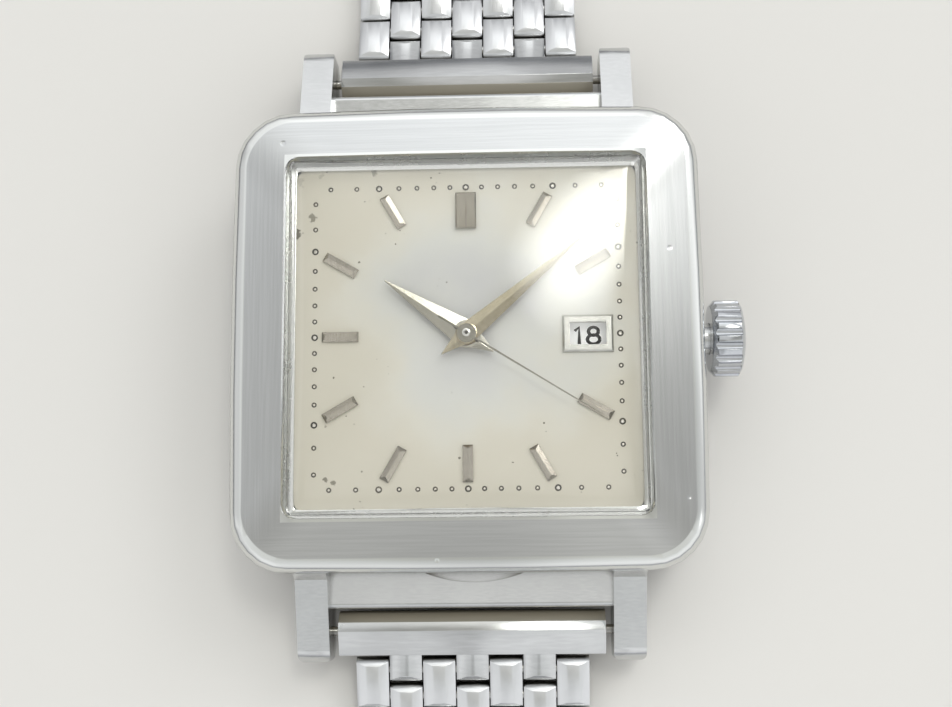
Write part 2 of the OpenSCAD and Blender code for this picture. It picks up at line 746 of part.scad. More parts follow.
// Fourth wheel: its long arbor carries the seconds hand
module fourth_wheel() color(brass) {
  train_wheel(fourth_module, fourth_teeth, 3.1, 3.25, seconds_r);
  pinion(third_module, fourth_pinion, 3.6, 3.95, -90 + 180 / fourth_pinion);
  disc(seconds_r, bridge_z + 0.05, seconds_hand_z + 0.05);
}

module escape_wheel() color(brass) {
  translate([escape_at.x, escape_at.y, 0]) {
    translate([0, 0, 4.2]) linear_extrude(0.12) {
      difference() {
        polygon([
          for (i = [0:14])
            for (p = [[escape_r - 0.45, -5], [escape_r, 2], [escape_r, 6], [escape_r - 0.4, 6]])
              p[0] * [cos(24 * i + p[1]), sin(24 * i + p[1])]
        ]);
        circle(escape_r - 0.75);
      }
      for (a = [0, 90]) rotate(a) square([2 * escape_r - 1.3, 0.22], center = true);
    }
    pinion(fourth_module, escape_pinion, 3.02, 3.35, escape_turn + 180 + 180 / escape_pinion);
    disc(pivot_r + 0.06, 3.35, 4.5);
    disc(pivot_r, bridge_z + 0.1, pocket_z + 0.3);
  }
}

// Pallet fork: two arms over the escape wheel and a lever that reaches the balance's roller
module pallet_fork() color(steel) {
  translate([fork_at.x, fork_at.y, 0]) rotate(line_of_fork) {
    translate([0, 0, 4.2]) linear_extrude(0.12) {
      circle(0.3);
      translate([0, -0.1]) square([0.7, 0.2]);
      for (s = [-1, 1]) {
        translate([0.6, s * 0.16 - 0.06]) square([0.25, 0.12]);
        rotate(s * 103) translate([0, -0.11]) square([1.25, 0.22]);
        // Stone: it points to the escape wheel and stops just over its tips
        rotate(s * 103) translate([1.15, 0]) rotate(s * 107) translate([0, -0.09]) square([0.42, 0.18]);
      }
      translate([0.55, -0.2]) square([0.12, 0.4]);
    }
    disc(pivot_r, 4.1, pocket_z + 0.3);
  }
}

module balance_wheel() color(brass) {
  r = balance_d / 2;
  translate([balance_at.x, balance_at.y, 0]) {
    translate([0, 0, 3.15]) linear_extrude(0.35) {
      difference() {
        circle(r);
        circle(r - 0.35);
      }
      square([2 * r - 0.5, 0.4], center = true);
      circle(0.45);
    }
    disc(0.25, 3.5, 4.05);
    disc(0.34, 4.02, 4.14);
    disc(pivot_r, bridge_z + 0.1, pocket_z + 0.3);
  }
}

// Flat spiral from the collet on the balance staff outwards, in equal steps
spring_turns = 5;
spring_steps = 20;
collet_r = 0.25 + seat;
spring_reach = 1.5;
spring_half = 0.025;
function spring_arm(i, side) =
  let (a = 360 * i / spring_steps)
    (collet_r + 0.05 + (spring_reach - collet_r) * i / (spring_turns * spring_steps) + side * spring_half)
      * [cos(a), sin(a)];

module hairspring() color("#4b5a78") {
  n = spring_turns * spring_steps;
  translate([balance_at.x, balance_at.y, 3.66]) {
    linear_extrude(0.12) polygon([for (i = [0:n]) spring_arm(i, -1), for (i = [n:-1:0]) spring_arm(i, 1)]);
    difference() {
      cylinder(r = collet_r + 0.12, h = 0.12);
      translate([0, 0, -1]) cylinder(r = collet_r, h = 2);
    }
  }
}

// Rotor: heavy half ring on a thin pierced web that turns round the post of the bridge
module rotor() color("#b98d52") {
  weight_top = rotor_z + rotor_weight_h;
  difference() {
    union() {
      difference() {
        disc(rotor_r, rotor_z, weight_top);
        disc(rotor_r - rotor_weight_w, rotor_z - 1, weight_top - 0.3);
      }
      disc(1.6, weight_top - 0.3, weight_top);
    }
    difference() {
      translate([-rotor_r - 1, 0, rotor_z - 1]) cube([2 * rotor_r + 2, rotor_r + 1, 4]);
      disc(1.6, rotor_z - 2, weight_top + 2);
    }
    disc(rotor_post_r + run, 0, 4);
    for (a = [-140, -90, -40]) rotate(a) translate([4.2, 0, weight_top - 1]) cylinder(r = 1.2, h = 2);
  }
}

module minute_wheel() color(brass) {
  translate([minute_wheel_at.x, minute_wheel_at.y, 0]) difference() {
    union() {
      pinion(
        minute_wheel_module, minute_wheel_teeth, motion_z, motion_z + 0.15,
        minute_wheel_turn + 180 + 180 / minute_wheel_teeth
      );
      pinion(hour_module, hour_pinion, motion_z + 0.15, motion_z + 0.5, minute_wheel_turn + 180);
    }
    disc(0.25 + run, 0, seam_z);
  }
}

// Hour wheel and the pipe that carries the hour hand
module hour_wheel() color(brass) {
  difference() {
    union() {
      pinion(hour_module, hour_teeth, motion_z + 0.34, motion_z + 0.48, minute_wheel_turn + 180 / hour_teeth);
      disc(hour_r, motion_z + 0.34, hour_hand_z + hand_t);
    }
    disc(hour_bore_r, 0, minute_hand_z);
  }
}

// Date disc: a flat ring, driven by 31 teeth inside
module date_disc() color("#f2f0ea") {
  outer = date_x + date_w / 2 + 0.5;
  inner = date_x - date_w / 2 - 0.35;
  step = 360 / 31;
  translate([0, 0, motion_z]) linear_extrude(0.2) difference() {
    circle(outer);
    polygon([
      for (i = [0:30])
        for (p = [[inner, -3.4], [inner - 0.35, -0.8], [inner - 0.35, 0.8], [inner, 3.4]])
          p[0] * [cos(i * step + p[1]), sin(i * step + p[1])]
    ]);
  }
}

module dial() color("#d9d6ca") {
  difference() {
    block(dial_w, dial_l, open_r, dial_z, dial_top_z - seat);
    disc(hour_r + 0.1, 0, rim_z);
    translate([date_x, 0, seam_z]) cube([date_w, date_l, 2], center = true);
  }
}

module date_frame() color(bright_steel) {
  translate([date_x, 0, dial_top_z]) difference() {
    linear_extrude(0.22) square([date_w + 2 * date_border, date_l + 2 * date_border], center = true);
    translate([0, 0, 0.1]) cube([date_w - 2 * seat, date_l - 2 * seat, 2], center = true);
    for (a = [0, 180]) rotate(a) {
      translate([date_w / 2 + date_border, 0, 0.22]) rotate([0, 45, 0]) cube([0.2, 4, 0.2], center = true);
      translate([0, date_l / 2 + date_border, 0.22]) rotate([45, 0, 0]) cube([5, 0.2, 0.2], center = true);
    }
  }
}

// Baton with two long facets that meet in a ridge, and sloping ends
module baton(length, width) {
  intersection() {
    rotate([90, 0, 90]) translate([0, 0, -length]) linear_extrude(2 * length) polygon([
      [-width / 2, 0], [width / 2, 0], [width / 2, marker_h * 0.45], [0, marker_h],
      [-width / 2, marker_h * 0.45]
    ]);
    rotate([90, 0, 0]) translate([0, 0, -width]) linear_extrude(2 * width) polygon([
      [-length / 2, 0], [length / 2, 0], [length / 2, marker_h * 0.3], [length / 2 - 0.25, marker_h],
      [0.25 - length / 2, marker_h], [-length / 2, marker_h * 0.3]
    ]);
  }
}

// Broad flat marker, chamfered all round, with a hairline groove down its middle
module double_marker() {
  edge = 0.11;
  difference() {
    translate([-twelve_w / 2, -marker_l / 2, 0]) cube([twelve_w, marker_l, marker_h]);
    for (a = [0, 90, 180, 270]) rotate(a) {
      reach = (a % 180 == 0 ? twelve_w : marker_l) / 2;
      translate([reach, 0, marker_h]) rotate([0, 45, 0]) cube([edge, 2 * marker_l, edge], center = true);
    }
    translate([0, 0, marker_h]) rotate([0, 45, 0]) cube([0.06, 2 * marker_l, 0.06], center = true);
  }
}

// Each marker points to the axis and is centred on a rectangle inside the dial's edge
module hour_markers() color("#a9acb0") {
  for (hour = [1, 2, 4, 5, 6, 7, 8, 9, 10, 11]) {
    a = 90 - 30 * hour;
    across = abs(cos(a)) * marker_y > abs(sin(a)) * marker_x;
    reach = across ? marker_x / abs(cos(a)) : marker_y / abs(sin(a));
    translate([reach * cos(a), reach * sin(a), dial_top_z]) rotate(a) baton(marker_l, marker_w);
  }
  translate([0, marker_y, dial_top_z]) double_marker();
}

// Pointed hand, widest near the axis, with a ridge down its middle
module dauphine(reach, tail, width, wide_at) {
  intersection() {
    linear_extrude(hand_t) polygon([
      [-tail, 0], [0, width / 2], [wide_at, width / 2], [reach, 0.03], [reach, -0.03],
      [wide_at, -width / 2], [0, -width / 2]
    ]);
    rotate([90, 0, 90]) translate([0, 0, -tail - 1]) linear_extrude(reach + tail + 2) polygon([
      [-width, 0], [width, 0], [width / 2, hand_t * 0.35], [0, hand_t], [-width / 2, hand_t * 0.35]
    ]);
  }
}

module hour_hand() color("#8f9194") {
  turn = 90 - 30 * (10 + shown_minutes / 60);
  difference() {
    union() {
      translate([0, 0, hour_hand_z]) rotate(turn) dauphine(hour_reach, tail_reach, hour_hand_w, 0.5);
      disc(hour_r + 0.2, hour_hand_z, hour_hand_z + hand_t);
    }
    disc(hour_r + seat, 0, rim_z);
  }
}

module minute_hand() color("#9a8a72") {
  difference() {
    union() {
      translate([0, 0, minute_hand_z]) rotate(90 - 6 * shown_minutes) {
        dauphine(minute_reach, tail_reach, minute_hand_w, 0.5);
      }
      disc(minute_r + 0.25, minute_hand_z, minute_hand_z + hand_t);
    }
    disc(minute_r + seat, 0, rim_z);
  }
}

module seconds_hand() color("#8a8c8f") {
  seconds_turn = 90 - 6 * 60 * (shown_minutes - floor(shown_minutes)) + 22;
  difference() {
    union() {
      translate([0, 0, seconds_hand_z]) rotate(seconds_turn) linear_extrude(0.1) polygon([
        [-tail_reach, 0.07], [seconds_reach, 0.03], [seconds_reach, -0.03], [-tail_reach, -0.07]
      ]);
      disc(0.6, seconds_hand_z, seconds_hand_z + 0.16);
    }
    disc(seconds_r + seat, 0, seconds_hand_z + 0.06);
  }
}

module spring_bar() color(steel) {
  half = lug_x + bar_tip_l;
  bar(bar_r, -end_w / 2, end_w / 2, bar_y, bar_z);
  bar(bar_tip_r, -half, half, bar_y, bar_z);
}

module spring_bar_12() spring_bar();
module spring_bar_6() rotate(180) spring_bar();

// One brick or tongue over two pins: round ends, a crowned top and a bore for each pin
module brick(x, y0, y1, bored = [0, 1]) {
  ends = [y0, y1];
  difference() {
    intersection() {
      union() {
        for (y = ends) bar(brick_r, x - brick_w / 2, x + brick_w / 2, y);
        translate([x - brick_w / 2, y0, -brick_r]) cube([brick_w, y1 - y0, brick_t]);
      }
      translate([x, y0 - brick_t, brick_r - crown_sink - brick_crown]) rotate([-90, 0, 0]) {
        cylinder(r = brick_crown, h = y1 - y0 + 2 * brick_t);
      }
    }
    for (i = bored) bar(pin_d / 2 + run, x - brick_w, x + brick_w, ends[i]);
  }
}

module pin(y) {
  half = columns * column_pitch / 2 - 0.1;
  bar(pin_d / 2, -half, half, y);
}

// Row pairs on their pins: four bricks, then three set half a brick further out
module link_group(pairs) {
  for (p = [0:pairs - 1]) {
    y = p * link_pitch;
    for (c = knuckle_columns) brick(column_x(c), y, y + pin_pitch);
    for (c = tongue_columns) brick(column_x(c), y + pin_pitch, y + link_pitch);
    pin(y);
    pin(y + pin_pitch);
  }
}

module links(i) color(bright_steel) {
  translate([0, hinge_y(i), hinge_z(i)]) rotate([-fall_of(i), 0, 0]) link_group(pairs_of(i));
}

// End piece's section in Y and Z: a tube folded along its top, with a lip over the first bricks
module end_section() {
  folds = [62, 26, 0];
  top = concat([for (a = folds) end_d / 2 * [-sin(a), cos(a)]], [[end_lip, end_lip_z]]);
  difference() {
    circle(end_d / 2);
    polygon(concat(top, [[end_lip, end_d], [-end_d, end_d], [-end_d, top[0].y]]));
  }
  polygon([[0, 0], top[2], top[3], [end_lip, -0.3], end_d / 2 * [sin(136), cos(136)]]);
}

// Rolled bar that turns on the spring bar, with three tongues that take the first pin
module end_piece() color(bright_steel) {
  translate([0, bar_y, bar_z]) {
    difference() {
      union() {
        translate([-end_w / 2, 0, 0]) rotate([90, 0, 90]) linear_extrude(end_w) end_section();
        rotate([-end_fall, 0, 0]) for (c = tongue_columns) brick(column_x(c), 0, end_reach, [1]);
      }
      bar(bar_r + run, -end_w, end_w);
    }
  }
}

module end_piece_12() end_piece();
module end_piece_6() rotate(180) end_piece();

// Clasp frame: four knuckles on the last pin, a base with two walls, and rungs for the hook
module clasp_frame() color(steel) {
  base_z = -brick_r;
  translate([0, clasp_y, brick_r]) {
    for (c = knuckle_columns) brick(column_x(c), 0, knuckle_l, [0]);
    pin(0);
    difference() {
      union() {
        translate([-clasp_w / 2, plate_from, base_z]) {
          cube([clasp_w, cover_hinge_y + wall_end_r - plate_from, clasp_t]);
        }
        for (s = [0, 1]) mirror([s, 0, 0]) {
          translate([clasp_w / 2 - clasp_t, plate_from, base_z]) {
            cube([clasp_t, cover_hinge_y - plate_from, clasp_h]);
          }
          bar(wall_end_r, clasp_w / 2 - clasp_t, clasp_w / 2, cover_hinge_y, cover_hinge_z);
          translate([clasp_w / 2 - clasp_t, cover_hinge_y, base_z]) {
            cube([clasp_t, wall_end_r, cover_hinge_z - base_z]);
          }
        }
        for (i = [0:3]) {
          rung_y = rung_from + i * rung_pitch;
          bar(rung_r, -clasp_w / 2, clasp_w / 2, rung_y, base_z + clasp_t + rung_r + 0.4);
        }
      }
      bar(cover_pin_r + run, -clasp_w, clasp_w, cover_hinge_y, cover_hinge_z);
    }
  }
}

// Cover that folds over the frame: an arched top, side skirts and its own pin
module clasp_cover() color(steel) {
  z0 = clasp_h - brick_r + pass;
  skirt_x = clasp_w / 2 + pass;
  translate([0, clasp_y, brick_r]) {
    difference() {
      union() {
        translate([-cover_w / 2, cover_from, z0]) cube([cover_w, cover_hinge_y - cover_from + 0.3, clasp_t]);
        for (s = [0, 1]) mirror([s, 0, 0]) {
          translate([skirt_x, cover_from, z0 - cover_side_h]) {
            cube([clasp_t, cover_hinge_y - cover_from + 0.3, cover_side_h]);
          }
          bar(0.85, skirt_x, skirt_x + clasp_t, cover_hinge_y, cover_hinge_z);
        }
      }
      for (y = grips) translate([-grip_l / 2, y, z0 + clasp_t - 0.12]) cube([grip_l, 0.4, 1]);
    }
    bar(cover_pin_r, -cover_w / 2, cover_w / 2, cover_hinge_y, cover_hinge_z);
  }
}

// Hook: four knuckles on the last pin, a tongue plate and a lip that grips a rung
module clasp_hook() color(steel) {
  end_y = plate_from + hook_l;
  lip_l = 1.8;
  lip_t = 0.4;
  rotate(180) translate([0, clasp_y, brick_r]) {
    for (c = knuckle_columns) brick(column_x(c), 0, knuckle_l, [0]);
    pin(0);
    translate([-hook_w / 2, plate_from, 0]) cube([hook_w, hook_l, clasp_t]);
    translate([-hook_w / 2, end_y - clasp_t, -brick_r]) cube([hook_w, clasp_t, brick_r + clasp_t]);
    translate([-hook_w / 2, end_y - lip_l, -brick_r]) cube([hook_w, lip_l, lip_t]);
  }
}

mid_case();
bezel();
crystal();
case_back();
case_back_gasket();
case_tube();
crown();
winding_stem();
movement_ring();
main_plate();
train_bridge();
balance_cock();
mainspring_barrel();
center_wheel();
third_wheel();
fourth_wheel();
escape_wheel();
pallet_fork();
balance_wheel();
hairspring();
rotor();
minute_wheel();
hour_wheel();
date_disc();
dial();
date_frame();
hour_markers();
hour_hand();
minute_hand();
seconds_hand();
spring_bar_12();
spring_bar_6();
end_piece_12();
end_piece_6();
clasp_frame();
clasp_cover();
clasp_hook();
for (i = [1:link_count]) {
  links(i);
  rotate(180) links(i);
}
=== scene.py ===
"""A square steel wristwatch, its bracelet open on a pale table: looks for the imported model."""
import json
import math

import bpy
from mathutils import Matrix, Vector

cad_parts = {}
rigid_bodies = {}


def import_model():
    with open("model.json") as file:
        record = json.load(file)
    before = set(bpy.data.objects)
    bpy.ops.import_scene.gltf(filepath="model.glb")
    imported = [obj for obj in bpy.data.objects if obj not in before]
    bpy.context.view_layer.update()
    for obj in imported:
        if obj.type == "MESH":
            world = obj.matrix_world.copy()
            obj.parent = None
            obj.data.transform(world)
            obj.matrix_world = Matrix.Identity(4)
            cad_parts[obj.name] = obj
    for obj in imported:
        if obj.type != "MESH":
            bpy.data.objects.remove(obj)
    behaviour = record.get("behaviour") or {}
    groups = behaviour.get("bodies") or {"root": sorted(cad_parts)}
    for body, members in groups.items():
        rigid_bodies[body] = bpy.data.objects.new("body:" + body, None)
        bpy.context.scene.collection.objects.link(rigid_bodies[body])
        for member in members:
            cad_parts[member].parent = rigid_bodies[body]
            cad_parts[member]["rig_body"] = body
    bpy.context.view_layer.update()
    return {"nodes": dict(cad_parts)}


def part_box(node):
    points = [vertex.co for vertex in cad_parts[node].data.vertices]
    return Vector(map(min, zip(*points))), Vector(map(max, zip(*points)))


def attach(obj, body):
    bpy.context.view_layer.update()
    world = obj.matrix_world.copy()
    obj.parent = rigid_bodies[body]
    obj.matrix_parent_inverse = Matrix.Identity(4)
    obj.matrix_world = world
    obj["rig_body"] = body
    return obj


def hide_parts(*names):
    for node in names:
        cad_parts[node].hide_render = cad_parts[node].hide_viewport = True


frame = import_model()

nodes = frame["nodes"]

# Camera: a hand-held one, close above the watch and a little below its middle, so that it looks
# slightly towards twelve. Its place and turn come from the corners of the case, lugs and end pieces.
mm = 0.001
camera_place = Vector((3.45, -15.5, 94.87)) * mm
camera_tilt = -9.25
camera_roll = -1.88
camera_turn = 0.56
camera_data = bpy.data.cameras.new("camera")
camera_data.sensor_width = 36
camera_data.lens = 52.94
camera_data.clip_start = 5 * mm
camera = bpy.data.objects.new("camera", camera_data)
camera.location = camera_place
to_camera = (
    Matrix.Rotation(math.radians(camera_turn), 3, "Z")
    @ Matrix.Rotation(math.radians(camera_tilt), 3, "X")
    @ Matrix.Rotation(math.radians(camera_roll), 3, "Y")
)
camera.rotation_euler = to_camera.transposed().to_euler()
bpy.context.scene.collection.objects.link(camera)
bpy.context.scene.camera = camera
bpy.context.scene.view_settings.view_transform = "Standard"


# Table: a smooth, pale, matt painted board under the watch, far wider than the view.
# It gives the eye a plain ground, and takes the watch's soft shadow.
def to_linear(shade):
    """The linear colour of an sRGB hex value."""
    parts = [int(shade[i : i + 2], 16) / 255 for i in (1, 3, 5)]
    return [p / 12.92 if p <= 0.04045 else ((p + 0.055) / 1.055) ** 2.4 for p in parts] + [1.0]


def add_node(tree, kind, inputs=None, stops=None, span=None, **settings):
    """One shader node. Its inputs take values or other nodes' outputs, by name or by number, and stops are
    places and colours on a ramp. A span maps its value smoothly: from low to high, to low to high.
    """
    node = tree.nodes.new("ShaderNode" + kind)
    for name, value in settings.items():
        setattr(node, name, value)
    for key, value in (inputs or {}).items():
        if isinstance(value, bpy.types.NodeSocket):
            tree.links.new(value, node.inputs[key])
        else:
            node.inputs[key].default_value = value
    for index, (place, shade) in enumerate((stops or {}).items()):
        ramp = node.color_ramp.elements
        element = ramp[index] if index < 2 else ramp.new(place)
        element.position = place
        element.color = to_linear(shade)
    if span:
        node.interpolation_type = "SMOOTHSTEP"
        for key, end in zip(("From Min", "From Max", "To Min", "To Max"), span):
            node.inputs[key].default_value = end
    return node


def start_material(name, settings):
    """A new material with its tree and its main shader, whose inputs take the settings."""
    material = bpy.data.materials.new(name)
    material.use_nodes = True
    tree = material.node_tree
    shader = tree.nodes["Principled BSDF"]
    for key, value in settings.items():
        shader.inputs[key].default_value = value
    return material, tree, shader


table_size = 6.0
bpy.ops.object.select_all(action="DESELECT")
bpy.ops.mesh.primitive_plane_add(size=table_size)
table = bpy.context.object
table.name = "table"
painted_board, tree, shader = start_material("matt_painted_board", {"Roughness": 0.7})
place = add_node(tree, "TexCoord").outputs["Object"]
mottle = add_node(tree, "TexNoise", {"Vector": place, "Scale": 6.0, "Detail": 3.0})
paint = add_node(tree, "ValToRGB", {"Fac": mottle.outputs["Fac"]}, stops={0.3: "#DAD8D4", 0.7: "#DFDDD9"})
tree.links.new(paint.outputs["Color"], shader.inputs["Base Color"])
table.data.materials.append(painted_board)

# Light: a plain grey room with pale walls over a darker skirting, its ceiling brighter towards twelve, a
# soft window at the upper right and a doorway at the right. A weak lamp at each side gives the shadow.
aim = Vector((0, 0, 8 * mm))
lamps = {
    "window_light": {"direction": (0.75, 0.80, 0.85), "distance": 0.70, "size": 0.28, "watts": 0.75},
    "left_light": {"direction": (-0.80, 0.10, 0.60), "distance": 0.80, "size": 0.60, "watts": 0.2},
}
for name, values in lamps.items():
    lamp = bpy.data.lights.new(name, "AREA")
    lamp.shape = "SQUARE"
    lamp.size = values["size"]
    lamp.energy = values["watts"]
    holder = bpy.data.objects.new(name, lamp)
    holder.location = aim + Vector(values["direction"]).normalized() * values["distance"]
    holder.rotation_euler = (aim - holder.location).to_track_quat("-Z", "Y").to_euler()
    bpy.context.scene.collection.objects.link(holder)
room = bpy.data.worlds.new("room")
room.use_nodes = True
bpy.context.scene.world = room
tree = room.node_tree
sight = add_node(tree, "SeparateXYZ", {"Vector": add_node(tree, "TexCoord").outputs["Generated"]}).outputs
height = add_node(tree, "Math", {0: sight["Z"], 1: 0.02}, operation="MAXIMUM").outputs[0]
walls = add_node(
    tree, "ValToRGB", {"Fac": height},
    stops={
        0.0: "#A2A3A5", 0.1: "#838589", 0.28: "#D9DADB", 0.55: "#E0E1E2", 0.8: "#CED0D0", 0.93: "#B9B9B4",
        0.955: "#BDBDB7", 0.985: "#F6F6F4",
    },
)
tree.links.new(walls.outputs["Color"], tree.nodes["Background"].inputs["Color"])
# A place on the ceiling, counted in heights of the room: right of the watch, and towards twelve
aside = add_node(tree, "Math", {0: sight["X"], 1: height}, operation="DIVIDE").outputs[0]
upward = add_node(tree, "Math", {0: sight["Y"], 1: height}, operation="DIVIDE").outputs[0]
overhead = add_node(tree, "CombineXYZ", {"X": aside, "Y": upward}).outputs["Vector"]
# The middle of each opening and its half size
openings = {"window": ((0.25, 0.39), (0.17, 0.2)), "doorway": ((1.27, -0.27), (0.3, 0.16))}
off_opening = {}
for name, ((x, y), (half_x, half_y)) in openings.items():
    centred = add_node(
        tree, "Mapping",
        {"Vector": overhead, "Location": (-x / half_x, -y / half_y, 0), "Scale": (1 / half_x, 1 / half_y, 0)},
    ).outputs["Vector"]
    off_opening[name] = add_node(tree, "VectorMath", {0: centred}, operation="LENGTH").outputs["Value"]
# Each glow has soft edges: what an edge is measured on, from where to where, and the strength at each end
glows = {
    "ceiling": (
        (upward, 0.3, 0.56, 0, 1), (aside, -1.1, 0.05, 0, 1.3), (upward, 1.15, 1.9, 1, 0.35),
        (aside, 0.18, 0.42, 1, 0.25),
    ),
    "beside_window": ((upward, 0.16, 0.24, 0, 0.62), (aside, 0.36, 0.46, 0, 1), (upward, 0.5, 0.7, 1, 0)),
    "window": ((off_opening["window"], 0.2, 1.25, 19, 0), (aside, 0.34, 0.4, 1, 0)),
    "walls": ((sight["X"], -0.48, -0.25, 1.18, 1.0), (sight["X"], -0.72, -0.6, 0.72, 1.0)),
    "doorway": ((off_opening["doorway"], 0.6, 1.2, 1.6, 0),),
    "lower_right": ((upward, -0.3, -0.16, 1, 0), (aside, 0.02, 0.1, 0, 0.5)),
    "lower_left": ((upward, -0.3, -0.16, 1, 0), (aside, -0.17, -0.06, 0.32, 0)),
}
strength = 0.0
for edges in glows.values():
    glow = 1.0
    for measured, *ends in edges:
        edge = add_node(tree, "MapRange", {"Value": measured}, span=ends).outputs["Result"]
        glow = add_node(tree, "Math", {0: glow, 1: edge}, operation="MULTIPLY").outputs[0]
    strength = add_node(tree, "Math", {0: strength, 1: glow}, operation="ADD").outputs[0]
tree.links.new(strength, tree.nodes["Background"].inputs["Strength"])


# Mid case: one block of stainless steel with the four lugs and the shelves, milled, satin-finished on
# its flat tops and polished on its sides, so it reads as silk next to mirror.
def finish(material, *names):
    """Gives CAD nodes their material."""
    for name in names:
        for slot in nodes[name].material_slots:
            slot.material = material


def grain(tree, place, size, detail=3.0):
    """Noise with a grain of size (x, y, z) in millimetres: long and thin for brushing."""
    scaled = add_node(tree, "Mapping", {"Vector": place, "Scale": [1 / (part * mm) for part in size]})
    return add_node(
        tree, "TexNoise", {"Vector": scaled.outputs["Vector"], "Scale": 1.0, "Detail": detail}
    ).outputs["Fac"]


def steel(name, light, dark, roughness, size, depth=0, gap=0):
    """A metal finish: two close shades, a grain of a size and with a relief depth, and gaps darkened by grime
    and painted shade.
    Size, depth and gap are in millimetres. Real grain is finer than this, and the render would lose it.
    """
    material, tree, shader = start_material(name, {"Metallic": 1.0})
    place = add_node(tree, "TexCoord").outputs["Object"]
    fine = grain(tree, place, size)
    broad = grain(tree, place, (2.6, 2.6, 2.6), 2.0)
    both = add_node(tree, "Math", {0: fine, 1: broad}, operation="ADD").outputs[0]
    spread = add_node(tree, "MapRange", {"Value": both}, span=(0.7, 1.3, 0, 1)).outputs["Result"]
    shades = add_node(tree, "ValToRGB", {"Fac": spread}, stops={0.0: dark, 1.0: light}).outputs["Color"]
    # Gaps and hollows go brown by ambient occlusion: a little grime, but mostly painted shade
    if gap:
        openness = add_node(tree, "AmbientOcclusion", {"Distance": gap * mm}, samples=16).outputs["AO"]
        open_or_plain = add_node(tree, "MapRange", {"Value": openness}, span=(0.05, 0.6, 0, 1)).outputs["Result"]
        shades = add_node(
            tree, "Mix", {0: open_or_plain, 6: to_linear("#625C50"), 7: shades}, data_type="RGBA"
        ).outputs[2]
    tree.links.new(shades, shader.inputs["Base Color"])
    gloss = add_node(tree, "MapRange", {"Value": both}, span=(0.7, 1.3, roughness * 0.92, roughness * 1.08))
    tree.links.new(gloss.outputs["Result"], shader.inputs["Roughness"])
    if depth:
        relief = add_node(tree, "Bump", {"Height": fine, "Strength": 1.0, "Distance": depth * mm})
        tree.links.new(relief.outputs["Normal"], shader.inputs["Normal"])
    return material


def edged(node, name, width, material, angle=30, cutter=None, rounded=False):
    """A copy of a CAD node, less a cutter, its sharp edges rolled to a small width, that stands for it."""
    piece = bpy.data.objects.new(name, nodes[node].data.copy())
    bpy.context.scene.collection.objects.link(piece)
    bpy.ops.object.select_all(action="DESELECT")
    bpy.context.view_layer.objects.active = piece
    piece.select_set(True)
    bpy.ops.mesh.customdata_custom_splitnormals_clear()
    bpy.ops.object.mode_set(mode="EDIT")
    bpy.ops.mesh.select_all(action="SELECT")
    bpy.ops.mesh.remove_doubles(threshold=1e-6)
    bpy.ops.mesh.dissolve_limited(angle_limit=math.radians(1))
    bpy.ops.object.mode_set(mode="OBJECT")
    if cutter:
        cut = piece.modifiers.new("cut", "BOOLEAN")
        cut.object = cutter
        cut.operation = "DIFFERENCE"
        bpy.ops.object.modifier_apply(modifier="cut")
        bpy.data.objects.remove(cutter)
    rim = piece.modifiers.new("rim", "BEVEL")
    rim.width = width
    rim.segments = 2
    rim.limit_method = "ANGLE"
    rim.angle_limit = math.radians(angle)
    bpy.ops.object.modifier_apply(modifier="rim")
    bpy.ops.object.shade_smooth_by_angle(angle=math.radians(40))
    if not rounded:
        piece.modifiers.new("flat_faces", "WEIGHTED_NORMAL").keep_sharp = True
        bpy.ops.object.modifier_apply(modifier="flat_faces")
    piece.data.materials.clear()
    piece.data.materials.append(material)
    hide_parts(node)
    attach(piece, nodes[node]["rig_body"])
    return piece


satin_steel = steel(
    "satin_stainless_steel", "#CFD0D0", "#C8C9C9",
    roughness=0.22, size=(0.5, 0.12, 0.3), depth=0.0001, gap=0.9,
)
# A shallow slot in the shelf at six takes the blade that lifts the bezel off
slot_r = 8.65 * mm
slot_depth = 0.35 * mm
slot_front = 15.55 * mm
slot_back = 14.9 * mm
slot_x = 0.27 * mm
shelf_top = 4.2 * mm
bpy.ops.object.select_all(action="DESELECT")
bpy.ops.mesh.primitive_cylinder_add(
    vertices=128, radius=slot_r, depth=2 * slot_depth, location=(slot_x, slot_r - slot_front, shelf_top)
)
slot_cutter = bpy.context.object
bpy.ops.object.transform_apply(location=True)
bpy.ops.object.mode_set(mode="EDIT")
bpy.ops.mesh.select_all(action="SELECT")
bpy.ops.mesh.bisect(plane_co=(0, -slot_back, 0), plane_no=(0, 1, 0), use_fill=True, clear_outer=True)
bpy.ops.object.mode_set(mode="OBJECT")
edged("mid_case", "case_block", 0.08 * mm, satin_steel, cutter=slot_cutter)
finish(satin_steel, "case_tube")

# Case back: a pressed stainless plate, snapped into the case from below on a moulded nitrile gasket. Its
# turned face has worn to an even, soft grey on the wrist, and the gasket is a dull black line.
worn_steel = steel(
    "turned_stainless_steel", "#C6C7C8", "#B8B9BB", roughness=0.3, size=(0.35, 0.35, 0.35), depth=0.0003
)
finish(worn_steel, "case_back")
gasket_rubber, tree, shader = start_material("nitrile_gasket", {"Roughness": 0.6})
dust = grain(tree, add_node(tree, "TexCoord").outputs["Object"], (0.4, 0.4, 0.4))
black = add_node(tree, "ValToRGB", {"Fac": dust}, stops={0.3: "#1B1B1C", 0.7: "#2A2A2B"})
tree.links.new(black.outputs["Color"], shader.inputs["Base Color"])
finish(gasket_rubber, "case_back_gasket")

# Crown and stem: a turned and fluted steel crown, polished after the flutes were cut, so each has a
# bright and a dark side. It is screwed on a ground stem of hardened carbon steel, grey and half bright.
crown_steel = steel(
    "polished_crown_steel", "#C6C8CC", "#BEC1C5", roughness=0.1, size=(0.3, 0.3, 0.3), depth=0.0001, gap=0.5
)
edged("crown", "fluted_crown", 0.05 * mm, crown_steel)
stem_steel = steel(
    "hardened_carbon_steel", "#A4A6AA", "#989A9E", roughness=0.25, size=(0.3, 0.08, 0.08), depth=0.0002
)
finish(stem_steel, "winding_stem")

